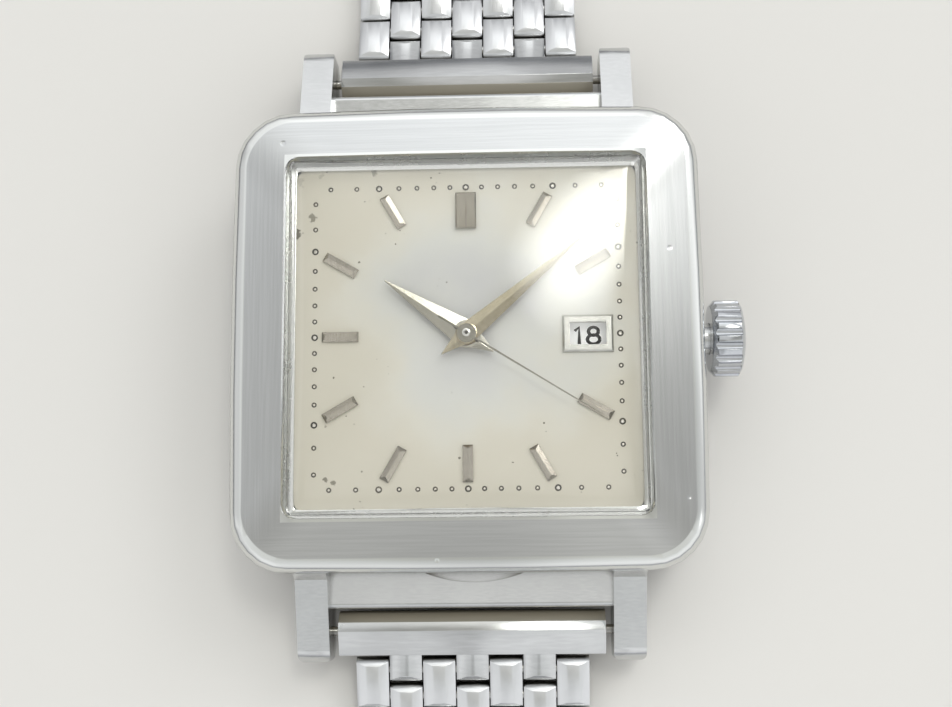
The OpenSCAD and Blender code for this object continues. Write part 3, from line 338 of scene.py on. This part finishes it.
# Movement: nickel-plated brass plates and rotor with a fine stipple, a soft warm grey, gilt brass wheels,
# polished steel escapement and a hairspring blued by heat, screwed and jewelled together. None of it shows
# from outside, and it is finished as a watchmaker would see it.
nickel_plate = steel(
    "nickel_plated_brass", "#C3C1BB", "#B5B3AD", roughness=0.34, size=(0.4, 0.4, 0.4), depth=0.0004
)
finish(nickel_plate, "movement_ring", "main_plate", "train_bridge", "balance_cock", "rotor")
gilt_brass = steel("gilt_brass", "#D9BB78", "#CBAB66", roughness=0.25, size=(0.2, 0.2, 0.2), depth=0.0002)
finish(
    gilt_brass, "mainspring_barrel", "center_wheel", "third_wheel", "fourth_wheel", "minute_wheel",
    "hour_wheel", "balance_wheel",
)
escape_steel = steel(
    "polished_escapement_steel", "#CFD1D4", "#C4C6CA", roughness=0.15, size=(0.1, 0.1, 0.1), depth=0.0001
)
finish(escape_steel, "escape_wheel", "pallet_fork")
blued_steel = steel(
    "blued_spring_steel", "#3A4C8C", "#2E3D78", roughness=0.2, size=(0.2, 0.2, 0.2), depth=0.0001
)
finish(blued_steel, "hairspring")

# Dial: a brass disc plate, silvered and lacquered, now creamed by age towards its edges, with small specks
# where the lacquer has lifted. It reads as warm paper round a cooler middle.
dial_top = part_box("dial")[1].z
silvered, tree, shader = start_material("aged_silvered_dial", {"Metallic": 0.1, "Roughness": 0.45})
place = add_node(tree, "TexCoord").outputs["Object"]
reach = add_node(tree, "VectorMath", {0: place}, operation="LENGTH").outputs["Value"]
cloud = grain(tree, place, (6, 6, 6), 4.0)
shift = add_node(tree, "MapRange", {"Value": cloud}, span=(0.3, 0.7, -1.5 * mm, 1.5 * mm)).outputs["Result"]
lean = add_node(tree, "VectorMath", {0: place, 1: (-0.13, -0.2, 0)}, operation="DOT_PRODUCT").outputs["Value"]
aged = add_node(tree, "Math", {0: reach, 1: shift}, operation="ADD").outputs[0]
aged = add_node(tree, "Math", {0: aged, 1: lean}, operation="ADD").outputs[0]
ageing = add_node(tree, "MapRange", {"Value": aged}, span=(3.5 * mm, 13 * mm, 0, 1)).outputs["Result"]
silver = add_node(
    tree, "ValToRGB", {"Fac": ageing}, stops={0.0: "#B9B9B9", 0.45: "#C5C5BE", 0.8: "#C9C6B9", 1.0: "#C5C0B0"}
)
# Specks stand up to one in each 0.7 mm, in patches
specks = add_node(tree, "TexVoronoi", {"Vector": place, "Scale": 1 / (0.7 * mm)}, voronoi_dimensions="2D")
patch = grain(tree, place, (3.2, 3.2, 3.2), 2.0)
speck_r = add_node(tree, "MapRange", {"Value": patch}, span=(0.6, 0.74, 0.0, 0.1)).outputs["Result"]
spots = add_node(
    tree, "Math", {0: specks.outputs["Distance"], 1: speck_r}, operation="LESS_THAN"
).outputs[0]
# Where damp has got under the lacquer: place and radius in millimetres, and how dark
stains = (
    (-9.94, 7.9, 0.24, 0.7), (-10.97, 6.85, 0.34, 0.95), (-5.97, 10.78, 0.2, 0.6), (-9.38, 10.71, 0.18, 0.3),
    (-10.82, 10.34, 0.32, 0.25), (-9.0, -9.1, 0.16, 0.8), (-8.5, -9.35, 0.15, 0.8), (-0.55, -7.8, 0.08, 0.9),
    (-6.9, 4.9, 0.09, 0.9), (-8.5, -2.6, 0.06, 0.9), (-6.6, -3.2, 0.05, 0.6), (-7.7, -5.1, 0.06, 0.8),
    (-7.2, -5.6, 0.06, 0.8), (-9.0, -5.7, 0.1, 0.5), (-6.7, -8.6, 0.05, 0.7), (9.11, 10.82, 0.4, 0.2),
    (8.5, 9.0, 0.09, 0.5), (9.1, 9.2, 0.08, 0.6), (9.5, 9.0, 0.07, 0.5), (10.0, 9.1, 0.08, 0.5),
    (9.43, 7.87, 0.07, 0.5), (10.0, 7.73, 0.06, 0.5), (5.23, 7.22, 0.06, 0.5), (6.06, 7.07, 0.05, 0.5),
)
ragged = grain(tree, place, (0.22, 0.22, 0.22))
for x, y, r, dark in stains:
    middle = (x * mm, y * mm, dial_top)
    off = add_node(tree, "VectorMath", {0: place, 1: middle}, operation="DISTANCE").outputs["Value"]
    jag = add_node(tree, "MapRange", {"Value": ragged}, span=(0.3, 0.7, -0.5 * r * mm, 0.5 * r * mm))
    off = add_node(tree, "Math", {0: off, 1: jag.outputs["Result"]}, operation="ADD").outputs[0]
    stain = add_node(tree, "MapRange", {"Value": off}, span=(0.75 * r * mm, 1.15 * r * mm, dark, 0))
    spots = add_node(tree, "Math", {0: spots, 1: stain.outputs["Result"]}, operation="MAXIMUM").outputs[0]
spotted = add_node(
    tree, "Mix", {0: spots, 6: silver.outputs["Color"], 7: to_linear("#5A5542")}, data_type="RGBA"
)
tree.links.new(spotted.outputs[2], shader.inputs["Base Color"])
lacquer = grain(tree, place, (0.12, 0.12, 0.12))
relief = add_node(tree, "Bump", {"Height": lacquer, "Strength": 1.0, "Distance": 0.001 * mm})
tree.links.new(relief.outputs["Normal"], shader.inputs["Normal"])
finish(silvered, "dial")

# Minute track: sixty small beads pressed into the dial, one each six degrees, on a square path. The ones at
# the five-minute places are larger. Each is a bright dot in a dark ring, the ring painted shade of the
# pressed hollow round it, and reads as a pinprick.
track_half = 9.75 * mm
bead_r = 0.165 * mm
large_share = 1.32
ring_w = 0.075 * mm
ring_h = 0.012 * mm
bead_h = 0.03 * mm
bead_slope_w = 0.03 * mm


def take_new(name):
    """The piece that an operator has just made, named."""
    piece = bpy.context.object
    piece.name = name
    piece.data.name = name
    return piece


def join_all(pieces, name):
    """Joins pieces into one."""
    bpy.ops.object.select_all(action="DESELECT")
    for piece in pieces:
        piece.select_set(True)
    bpy.context.view_layer.objects.active = pieces[0]
    bpy.ops.object.join()
    return take_new(name)


def copy_at(piece, matrix):
    """A copy of a piece with its own mesh, moved there in its mesh."""
    twin = bpy.data.objects.new(piece.name, piece.data.copy())
    twin.data.transform(matrix)
    bpy.context.scene.collection.objects.link(twin)
    return twin


bpy.ops.object.select_all(action="DESELECT")
bpy.ops.mesh.primitive_circle_add(vertices=18, radius=bead_r, fill_type="NGON")
bead = take_new("minute_bead")
bpy.ops.object.mode_set(mode="EDIT")
bpy.ops.mesh.select_all(action="SELECT")
bpy.ops.mesh.extrude_region_move(TRANSFORM_OT_translate={"value": (0, 0, ring_h)})
bpy.ops.mesh.inset(thickness=ring_w)
bpy.ops.mesh.inset(thickness=bead_slope_w, depth=bead_h)
bpy.ops.object.mode_set(mode="OBJECT")
# A dark, uneven brown-black: painted shade in the hollow round each bead and in the seconds pipe's bore
painted_hollow_shade, tree, shader = start_material("painted_hollow_shade", {"Roughness": 0.45, "Metallic": 0.4})
fade = grain(tree, add_node(tree, "TexCoord").outputs["Object"], (1.1, 1.1, 1.1), 2.0)
ring_shade = add_node(tree, "ValToRGB", {"Fac": fade}, stops={0.35: "#26221B", 0.7: "#5C5648"})
tree.links.new(ring_shade.outputs["Color"], shader.inputs["Base Color"])
bead_metal = steel("polished_bead", "#E6E3DA", "#D8D4C8", roughness=0.2, size=(0.4, 0.4, 0.4), depth=0.0001)
bead.data.materials.append(painted_hollow_shade)
bead.data.materials.append(bead_metal)
for face in bead.data.polygons:
    face.material_index = 1 if Vector(face.center).xy.length < bead_r - ring_w - 0.005 * mm else 0
beads = []
for minute in range(60):
    angle = math.radians(6 * minute)
    along = Vector((math.sin(angle), math.cos(angle)))
    spot_at = along * track_half / max(abs(along.x), abs(along.y))
    share = large_share if minute % 5 == 0 else 1.0
    at = Matrix.Translation((spot_at.x, spot_at.y, dial_top))
    beads.append(copy_at(bead, at @ Matrix.Diagonal((share, share, 1, 1))))
bpy.data.objects.remove(bead)
track = join_all(beads, "minute_track")
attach(track, "head")

# Hour markers and date frame: cut and faceted steel, polished, and fixed on the dial.
# Their facets mirror the room, so one side of each goes dark and the other white.
marker_steel = steel("faceted_marker_steel", "#B4AEA1", "#A8A294", roughness=0.14, size=(0.09, 0.9, 0.5))
edged("hour_markers", "faceted_markers", 0.012 * mm, marker_steel, angle=50)
bpy.ops.mesh.customdata_custom_splitnormals_clear()
bpy.ops.object.shade_flat()
frame_steel = steel("polished_frame_steel", "#D6D6D0", "#CECEC7", roughness=0.22, size=(0.5, 0.5, 0.5))
edged("date_frame", "bevelled_date_frame", 0.02 * mm, frame_steel)

# Date disc: a steel ring in white enamel, printed with thirty-one numbers and read through the frame at
# three. The enamel glows a little, for the light that the deep window keeps out of a short render, and the
# matt black ink takes no highlight.
date_white, tree, shader = start_material(
    "white_date_enamel",
    {"Roughness": 0.35, "Emission Color": to_linear("#F4F4F6"), "Emission Strength": 0.16},
)
chalk = grain(tree, add_node(tree, "TexCoord").outputs["Object"], (0.8, 0.8, 0.8))
white = add_node(tree, "ValToRGB", {"Fac": chalk}, stops={0.3: "#F8F8F6", 0.7: "#FDFDFC"})
tree.links.new(white.outputs["Color"], shader.inputs["Base Color"])
finish(date_white, "date_disc")
disc_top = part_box("date_disc")[1].z
frame_low, frame_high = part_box("date_frame")
number_reach = (frame_low.x + frame_high.x) / 2
number_h = 1.3 * mm
number_wide = 1.22
number_flat = 0.1
shown_date = 18
days = 31
date_ink, tree, shader = start_material("date_printing_ink", {"Roughness": 0.4, "Specular IOR Level": 0.1})
wear = grain(tree, add_node(tree, "TexCoord").outputs["Object"], (0.5, 0.5, 0.5))
black = add_node(tree, "ValToRGB", {"Fac": wear}, stops={0.3: "#050506", 0.7: "#0C0C0E"})
tree.links.new(black.outputs["Color"], shader.inputs["Base Color"])
pen = 0.15
arc_step = 22


def arc(x, y, across, up, start, end):
    """Points of an arc round (x, y), its angles in degrees."""
    steps = max(4, round(abs(end - start) / arc_step))
    turns = [math.radians(start + (end - start) * i / steps) for i in range(steps + 1)]
    return [(x + across * math.cos(t), y + up * math.sin(t)) for t in turns]


six = [arc(0, -0.17, 0.24, 0.25, 0, 360), arc(0.26, -0.12, 0.5, 0.54, 180, 105)]
digits = {
    "0": [arc(0, 0, 0.25, 0.42, 0, 360)],
    "1": [[(-0.15, 0.24), (0.03, 0.42), (0.03, -0.42)]],
    "2": [arc(0, 0.18, 0.23, 0.24, 165, -35) + [(-0.24, -0.42), (0.25, -0.42)]],
    "3": [arc(0, 0.21, 0.21, 0.21, 150, -90), arc(0, -0.2, 0.24, 0.22, 90, -150)],
    "4": [[(0.12, -0.42), (0.12, 0.42), (-0.27, -0.15), (0.28, -0.15)]],
    "5": [[(0.21, 0.42), (-0.17, 0.42), (-0.2, 0.03)] + arc(0, -0.16, 0.25, 0.26, 125, -145)],
    "6": six,
    "7": [[(-0.24, 0.42), (0.24, 0.42), (-0.06, -0.42)]],
    "8": [arc(0, 0.21, 0.2, 0.21, 0, 360), arc(0, -0.19, 0.25, 0.23, 0, 360)],
    "9": [[(-x, -y) for x, y in stroke] for stroke in six],
}


def draw(word):
    """A number drawn with a round pen, one high, centred on the origin."""
    advance = [0.5 if digit == "1" else 0.72 for digit in word]
    curve = bpy.data.curves.new("number", "CURVE")
    curve.dimensions = "3D"
    curve.bevel_depth = pen / 2
    curve.bevel_resolution = 1
    curve.use_fill_caps = True
    for index, digit in enumerate(word):
        at = sum(advance[:index]) + advance[index] / 2 - sum(advance) / 2
        for stroke in digits[digit]:
            line = curve.splines.new("POLY")
            line.points.add(len(stroke) - 1)
            for point, (x, y) in zip(line.points, stroke):
                point.co = (x + at, y, 0, 1)
    number = bpy.data.objects.new("number", curve)
    bpy.context.scene.collection.objects.link(number)
    bpy.ops.object.select_all(action="DESELECT")
    bpy.context.view_layer.objects.active = number
    number.select_set(True)
    bpy.ops.object.convert(target="MESH")
    return bpy.context.object


numbers = []
for day in range(1, days + 1):
    number = draw(str(day))
    turn = math.radians(360 / days * (day - shown_date))
    number.data.transform(
        Matrix.Rotation(turn, 4, "Z")
        @ Matrix.Translation((number_reach, 0, disc_top))
        @ Matrix.Diagonal((number_h * number_wide, number_h, number_h * number_flat, 1))
    )
    number.data.materials.clear()
    number.data.materials.append(date_ink)
    numbers.append(number)
printing = join_all(numbers, "date_numbers")
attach(printing, "date")

# Hands: stamped and faceted dauphine hour and minute hands, polished, the minute hand gone warm with age,
# and a thin seconds hand, dull and dark. Each is pressed on its own pipe.
hour_steel = steel("polished_hour_hand", "#B9B6A9", "#AFAC9F", roughness=0.16, size=(0.25, 0.25, 0.25))
edged("hour_hand", "faceted_hour_hand", 0.012 * mm, hour_steel, angle=10)
minute_gilt = steel("aged_gilt_minute_hand", "#B3AA92", "#A79E86", roughness=0.16, size=(0.25, 0.25, 0.25))
edged("minute_hand", "faceted_minute_hand", 0.012 * mm, minute_gilt, angle=10)
seconds_steel = steel(
    "dull_seconds_hand", "#88857B", "#787569", roughness=0.3, size=(0.25, 0.25, 0.25), depth=0.0001
)
finish(seconds_steel, "seconds_hand")
# The end of the seconds hand's pipe, riveted over its disc, is burnished: a small bright ring round a
# bore whose dark is painted shade
pipe_r = 0.26 * mm
pipe_h = 0.07 * mm
pipe_slope_w = 0.05 * mm
pipe_crown = 0.02 * mm
bore_r = 0.12 * mm
bore_deep = 0.06 * mm
bpy.ops.object.select_all(action="DESELECT")
bpy.ops.mesh.primitive_circle_add(vertices=32, radius=pipe_r, fill_type="NGON")
pipe_end = take_new("seconds_pipe_end")
bpy.ops.object.mode_set(mode="EDIT")
bpy.ops.mesh.select_all(action="SELECT")
bpy.ops.mesh.extrude_region_move(TRANSFORM_OT_translate={"value": (0, 0, pipe_h)})
bpy.ops.mesh.inset(thickness=pipe_slope_w, depth=pipe_crown)
bpy.ops.mesh.inset(thickness=pipe_r - pipe_slope_w - bore_r)
bpy.ops.mesh.extrude_region_move(TRANSFORM_OT_translate={"value": (0, 0, -bore_deep)})
bpy.ops.object.mode_set(mode="OBJECT")
bpy.ops.object.shade_smooth_by_angle(angle=math.radians(35))
pipe_end.data.transform(Matrix.Translation((0, 0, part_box("seconds_hand")[1].z)))
ring_steel = steel("burnished_pipe_steel", "#E2E1DC", "#DAD9D3", roughness=0.12, size=(0.1, 0.1, 0.1))
pipe_end.data.materials.append(ring_steel)
pipe_end.data.materials.append(painted_hollow_shade)
for face in pipe_end.data.polygons:
    face.material_index = 1 if Vector(face.center).xy.length < bore_r + 0.01 * mm else 0
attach(pipe_end, "seconds")

# Bezel: stainless steel, line-brushed along each of its four bars, with a rolled and mirror-polished
# outer edge and a polished inner wall. It is pressed on the mid case. The light runs over the brushing in
# long streaks, inside a bright rim.
bezel_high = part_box("bezel")[1]
bevel_w = 0.95 * mm
bow = 0.1 * mm
brush_r = 3.0 * mm
open_half = Vector((11.48, 11.65)) * mm
wall_w = 0.14 * mm
brushed_steel, tree, shader = start_material("line_brushed_stainless_steel", {"Metallic": 1.0})
place = add_node(tree, "TexCoord").outputs["Object"]
parts = add_node(tree, "SeparateXYZ", {"Vector": place}).outputs
off_x = add_node(tree, "Math", {0: parts["X"]}, operation="ABSOLUTE").outputs[0]
off_y = add_node(tree, "Math", {0: parts["Y"]}, operation="ABSOLUTE").outputs[0]
lean = add_node(tree, "Math", {0: off_x, 1: off_y}, operation="SUBTRACT").outputs[0]
on_side = add_node(tree, "MapRange", {"Value": lean}, span=(-1.2 * mm, 1.2 * mm, 0, 1)).outputs["Result"]
# Real brush lines are 0.02 mm apart: these are seven times that, or the render would lose them
along_x = grain(tree, place, (6.0, 0.14, 6.0))
along_y = grain(tree, place, (0.14, 6.0, 6.0))
lines = add_node(tree, "Mix", {0: on_side, 2: along_x, 3: along_y}, data_type="FLOAT").outputs[0]
# Past the brushed top, whose corners are round, lies the rolled edge
brush_x = bezel_high.x - bow - bevel_w - brush_r
brush_y = bezel_high.y - bow - bevel_w - brush_r
past_x = add_node(tree, "Math", {0: off_x, 1: brush_x}, operation="SUBTRACT").outputs[0]
past_y = add_node(tree, "Math", {0: off_y, 1: brush_y}, operation="SUBTRACT").outputs[0]
past = add_node(tree, "CombineXYZ", {"X": past_x, "Y": past_y}).outputs["Vector"]
past = add_node(tree, "VectorMath", {0: past, 1: (0, 0, 0)}, operation="MAXIMUM").outputs["Vector"]
past = add_node(tree, "VectorMath", {0: past}, operation="LENGTH").outputs["Value"]
rolled = add_node(
    tree, "MapRange", {"Value": past}, span=(brush_r + 0.02 * mm, brush_r + 0.14 * mm, 0, 1)
).outputs["Result"]
in_x = add_node(tree, "Math", {0: off_x, 1: open_half.x + wall_w}, operation="LESS_THAN").outputs[0]
in_y = add_node(tree, "Math", {0: off_y, 1: open_half.y + wall_w}, operation="LESS_THAN").outputs[0]
inner = add_node(tree, "Math", {0: in_x, 1: in_y}, operation="MULTIPLY").outputs[0]
polish = add_node(tree, "Math", {0: rolled, 1: inner}, operation="MAXIMUM").outputs[0]
streak = add_node(tree, "MapRange", {"Value": lines}, span=(0.3, 0.7, 0, 1)).outputs["Result"]
brushed = add_node(tree, "ValToRGB", {"Fac": streak}, stops={0.0: "#C5C6C7", 1.0: "#CBCCCD"}).outputs["Color"]
shade = add_node(tree, "Mix", {0: polish, 6: brushed, 7: to_linear("#DDDEDC")}, data_type="RGBA")
tree.links.new(shade.outputs[2], shader.inputs["Base Color"])
edge_gloss = add_node(tree, "MapRange", {"Value": rolled}, span=(0, 1, 0.19, 0.17)).outputs["Result"]
wall_gloss = add_node(tree, "MapRange", {"Value": inner}, span=(0, 1, 0.19, 0.06)).outputs["Result"]
gloss = add_node(tree, "Math", {0: edge_gloss, 1: wall_gloss}, operation="MINIMUM").outputs[0]
tree.links.new(gloss, shader.inputs["Roughness"])
keep = add_node(tree, "Math", {0: 1.0, 1: polish}, operation="SUBTRACT").outputs[0]
cut = add_node(tree, "Math", {0: lines, 1: keep}, operation="MULTIPLY").outputs[0]
# The brushing turns softly from bar to bar in the corners, so no mitre line shows there
fall = 0.16
fall_x = add_node(tree, "MapRange", {"Value": lean}, span=(-3.5 * mm, 3.5 * mm, 0, fall)).outputs["Result"]
fall_y = add_node(tree, "Math", {0: fall, 1: fall_x}, operation="SUBTRACT").outputs[0]
falls = {}
for axis, size in (("X", fall_x), ("Y", fall_y)):
    sign = add_node(tree, "Math", {0: parts[axis]}, operation="SIGN").outputs[0]
    falls[axis] = add_node(tree, "Math", {0: size, 1: sign}, operation="MULTIPLY").outputs[0]
facing = add_node(tree, "CombineXYZ", {"X": falls["X"], "Y": falls["Y"], "Z": 1.0}).outputs["Vector"]
facing = add_node(tree, "VectorMath", {0: facing}, operation="NORMALIZE").outputs["Vector"]
off_mitre = add_node(tree, "Math", {0: lean}, operation="ABSOLUTE").outputs[0]
near = add_node(tree, "MapRange", {"Value": off_mitre}, span=(2.5 * mm, 4.5 * mm, 1, 0)).outputs["Result"]
near = add_node(tree, "Math", {0: near, 1: keep}, operation="MULTIPLY").outputs[0]
own_normal = add_node(tree, "NewGeometry").outputs["Normal"]
soft = add_node(tree, "Mix", {0: near, 4: own_normal, 5: facing}, data_type="VECTOR").outputs[1]
# Dents and nicks from wear: place and radius in millimetres. Their depth is counted in brush lines
dents = (
    (-11.74, 12.6, 0.14), (13.67, -10.5, 0.12), (-1.91, -14.23, 0.1), (9.51, -14.2, 0.16), (12.9, 5.2, 0.1)
)
dent_z = 8.25 * mm
dent_edge = 0.1 * mm
dent_depth = 60
for x, y, r in dents:
    middle = (x * mm, y * mm, dent_z)
    off = add_node(tree, "VectorMath", {0: place, 1: middle}, operation="DISTANCE").outputs["Value"]
    ends = (0.1 * r * mm + dent_edge, r * mm + dent_edge, -dent_depth, 0)
    dent = add_node(tree, "MapRange", {"Value": off}, span=ends).outputs["Result"]
    cut = add_node(tree, "Math", {0: cut, 1: dent}, operation="ADD").outputs[0]
relief = add_node(tree, "Bump", {"Height": cut, "Normal": soft, "Strength": 1.0, "Distance": 0.0003 * mm})
tree.links.new(relief.outputs["Normal"], shader.inputs["Normal"])
bezel_shell = edged("bezel", "bezel_shell", 0.03 * mm, brushed_steel, angle=40)
# Its ledge for the crystal is narrow and almost square in the corners, as seen round the dial
was_half = open_half - Vector((0.8, 0.8)) * mm
was_r = 0.45 * mm
ledge_half = Vector((10.98, 11.0)) * mm
ledge_r = 0.15 * mm
for vertex in bezel_shell.data.vertices:
    if all(abs(vertex.co[axis]) < was_half[axis] + 0.05 * mm for axis in (0, 1)):
        for axis in (0, 1):
            reach = abs(vertex.co[axis])
            past_arc = reach - was_half[axis] + was_r
            if past_arc > 0:
                reach = ledge_half[axis] - ledge_r + past_arc / was_r * ledge_r
            else:
                reach = reach / (was_half[axis] - was_r) * (ledge_half[axis] - ledge_r)
            vertex.co[axis] = math.copysign(reach, vertex.co[axis])

# Crystal: one piece of clear acrylic, hot-pressed to a pillow dome with a cut bevel round it, and
# pressed into the bezel on its ledge. Only its glare and its bevel show.
glass_low, glass_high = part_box("crystal")
glass_edge = 0.07 * mm
glass_wall = 0.16 * mm
glass_r = 0.25 * mm
dome_rise = 1.0 * mm
shoulder_w = 1.0 * mm
shoulder_fall = 0.3 * mm
glass_half = Vector((glass_high.x, glass_high.y))
top_half = glass_half - Vector((glass_edge, glass_edge))
grid_steps = 90
bpy.ops.object.select_all(action="DESELECT")
bpy.ops.mesh.primitive_grid_add(x_subdivisions=grid_steps, y_subdivisions=grid_steps, size=2)
crystal = take_new("crystal_dome")
crystal.data.transform(Matrix.Diagonal((top_half.x, top_half.y, 1, 1)))
shoulder = glass_high.z - dome_rise
for vertex in crystal.data.vertices:
    x, y, _ = vertex.co
    corner = Vector((max(abs(x) - top_half.x + glass_r, 0), max(abs(y) - top_half.y + glass_r, 0)))
    if corner.length > glass_r:
        corner = corner.normalized() * glass_r
        x = math.copysign(top_half.x - glass_r + corner.x, x)
        y = math.copysign(top_half.y - glass_r + corner.y, y)
    rise = dome_rise * (1 - (x / top_half.x) ** 2) * (1 - (y / top_half.y) ** 2)
    inside = min(top_half.x - abs(x), top_half.y - abs(y))
    fall = shoulder_fall * max(0, 1 - inside / shoulder_w) ** 2
    vertex.co = (x, y, shoulder + rise - fall)
bpy.ops.object.mode_set(mode="EDIT")
bpy.ops.mesh.select_mode(type="EDGE")
bpy.ops.mesh.select_all(action="DESELECT")
bpy.ops.mesh.select_non_manifold()
bpy.ops.mesh.extrude_edges_move(TRANSFORM_OT_translate={"value": (0, 0, -glass_edge)})
grow = (glass_half.x / top_half.x, glass_half.y / top_half.y, 1)
bpy.ops.transform.resize(value=grow, center_override=(0, 0, 0))
wall_h = shoulder - shoulder_fall - glass_edge - glass_low.z
bpy.ops.mesh.extrude_edges_move(TRANSFORM_OT_translate={"value": (0, 0, -wall_h)})
bpy.ops.object.mode_set(mode="OBJECT")
wall = crystal.modifiers.new("wall", "SOLIDIFY")
wall.thickness = glass_wall
wall.offset = -1
bpy.ops.object.modifier_apply(modifier="wall")
bpy.ops.object.shade_smooth_by_angle(angle=math.radians(25))
acrylic, tree, shader = start_material(
    "clear_acrylic", {"Transmission Weight": 1.0, "IOR": 1.49, "Base Color": to_linear("#FFFFFF")}
)
# Fine wiping scratches that only a highlight shows
haze = grain(tree, add_node(tree, "TexCoord").outputs["Object"], (3, 3, 3), 5.0)
gloss = add_node(tree, "MapRange", {"Value": haze}, span=(0.45, 0.8, 0.01, 0.06))
tree.links.new(gloss.outputs["Result"], shader.inputs["Roughness"])
# The turned side is left matt, so it reads as one soft grey line round the dial
matt_acrylic, tree, shader = start_material(
    "turned_acrylic", {"Transmission Weight": 1.0, "IOR": 1.49, "Base Color": to_linear("#F4F4F2")}
)
turning = grain(tree, add_node(tree, "TexCoord").outputs["Object"], (1.5, 1.5, 1.5))
gloss = add_node(tree, "MapRange", {"Value": turning}, span=(0.3, 0.7, 0.25, 0.35))
tree.links.new(gloss.outputs["Result"], shader.inputs["Roughness"])
crystal.data.materials.append(acrylic)
crystal.data.materials.append(matt_acrylic)
for face in crystal.data.polygons:
    face.material_index = 1 if abs(face.normal.z) < 0.3 else 0
# Clear acrylic lets the light through to the dial, which plain glass shading would hold back
crystal.visible_shadow = False
crystal.visible_diffuse = False
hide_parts("crystal")
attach(crystal, "head")

# Bracelet: seven columns of interleaved satin steel bricks on pins, which shine softly at their round
# ends, between polished end pieces, rolled and held by spring bars, and a pressed ladder clasp with a
# folding cover, brushed along its length to a quiet sheen.
brick_steel = steel(
    "satin_bracelet_steel", "#DADBDC", "#D5D6D7", roughness=0.3, size=(0.6, 0.6, 0.6), gap=0.7
)
for name in [name for name in nodes if name.startswith("links_")]:
    edged(name, name.replace("links", "bricks"), 0.06 * mm, brick_steel, rounded=True)
rolled_steel = steel(
    "polished_rolled_steel", "#C9CACA", "#C1C2C2", roughness=0.14, size=(1.5, 0.2, 0.2), gap=1.0
)
# The flank turned to the case is painted taupe and half matt: painted shade and a painted reflection of the
# case's dark side
tree = rolled_steel.node_tree
shader = tree.nodes["Principled BSDF"]
own = add_node(tree, "TexCoord").outputs
facing = add_node(tree, "SeparateXYZ", {"Vector": own["Normal"]}).outputs["Y"]
half = add_node(tree, "SeparateXYZ", {"Vector": own["Object"]}).outputs["Y"]
half = add_node(tree, "Math", {0: half}, operation="SIGN").outputs[0]
outward = add_node(tree, "Math", {0: half, 1: facing}, operation="MULTIPLY").outputs[0]
flank_shade = add_node(tree, "MapRange", {"Value": outward}, span=(-0.75, -0.15, 1, 0)).outputs["Result"]
open_or_plain = shader.inputs["Base Color"].links[0].from_socket
painted_flank = add_node(tree, "Mix", {0: flank_shade, 6: open_or_plain, 7: to_linear("#A29B8A")}, data_type="RGBA")
tree.links.new(painted_flank.outputs[2], shader.inputs["Base Color"])
flank_metallic = add_node(tree, "MapRange", {"Value": flank_shade}, span=(0, 1, 1.0, 0.3)).outputs["Result"]
tree.links.new(flank_metallic, shader.inputs["Metallic"])
edged("end_piece_12", "rolled_end_12", 0.11 * mm, rolled_steel, angle=14, rounded=True)
edged("end_piece_6", "rolled_end_6", 0.11 * mm, rolled_steel, angle=14, rounded=True)
finish(rolled_steel, "spring_bar_12", "spring_bar_6")
clasp_steel = steel(
    "pressed_clasp_steel", "#CACBCD", "#C1C2C4", roughness=0.24, size=(0.12, 3.0, 0.3), depth=0.0001
)
for name in ("clasp_frame", "clasp_cover", "clasp_hook"):
    edged(name, "pressed_" + name, 0.08 * mm, clasp_steel)
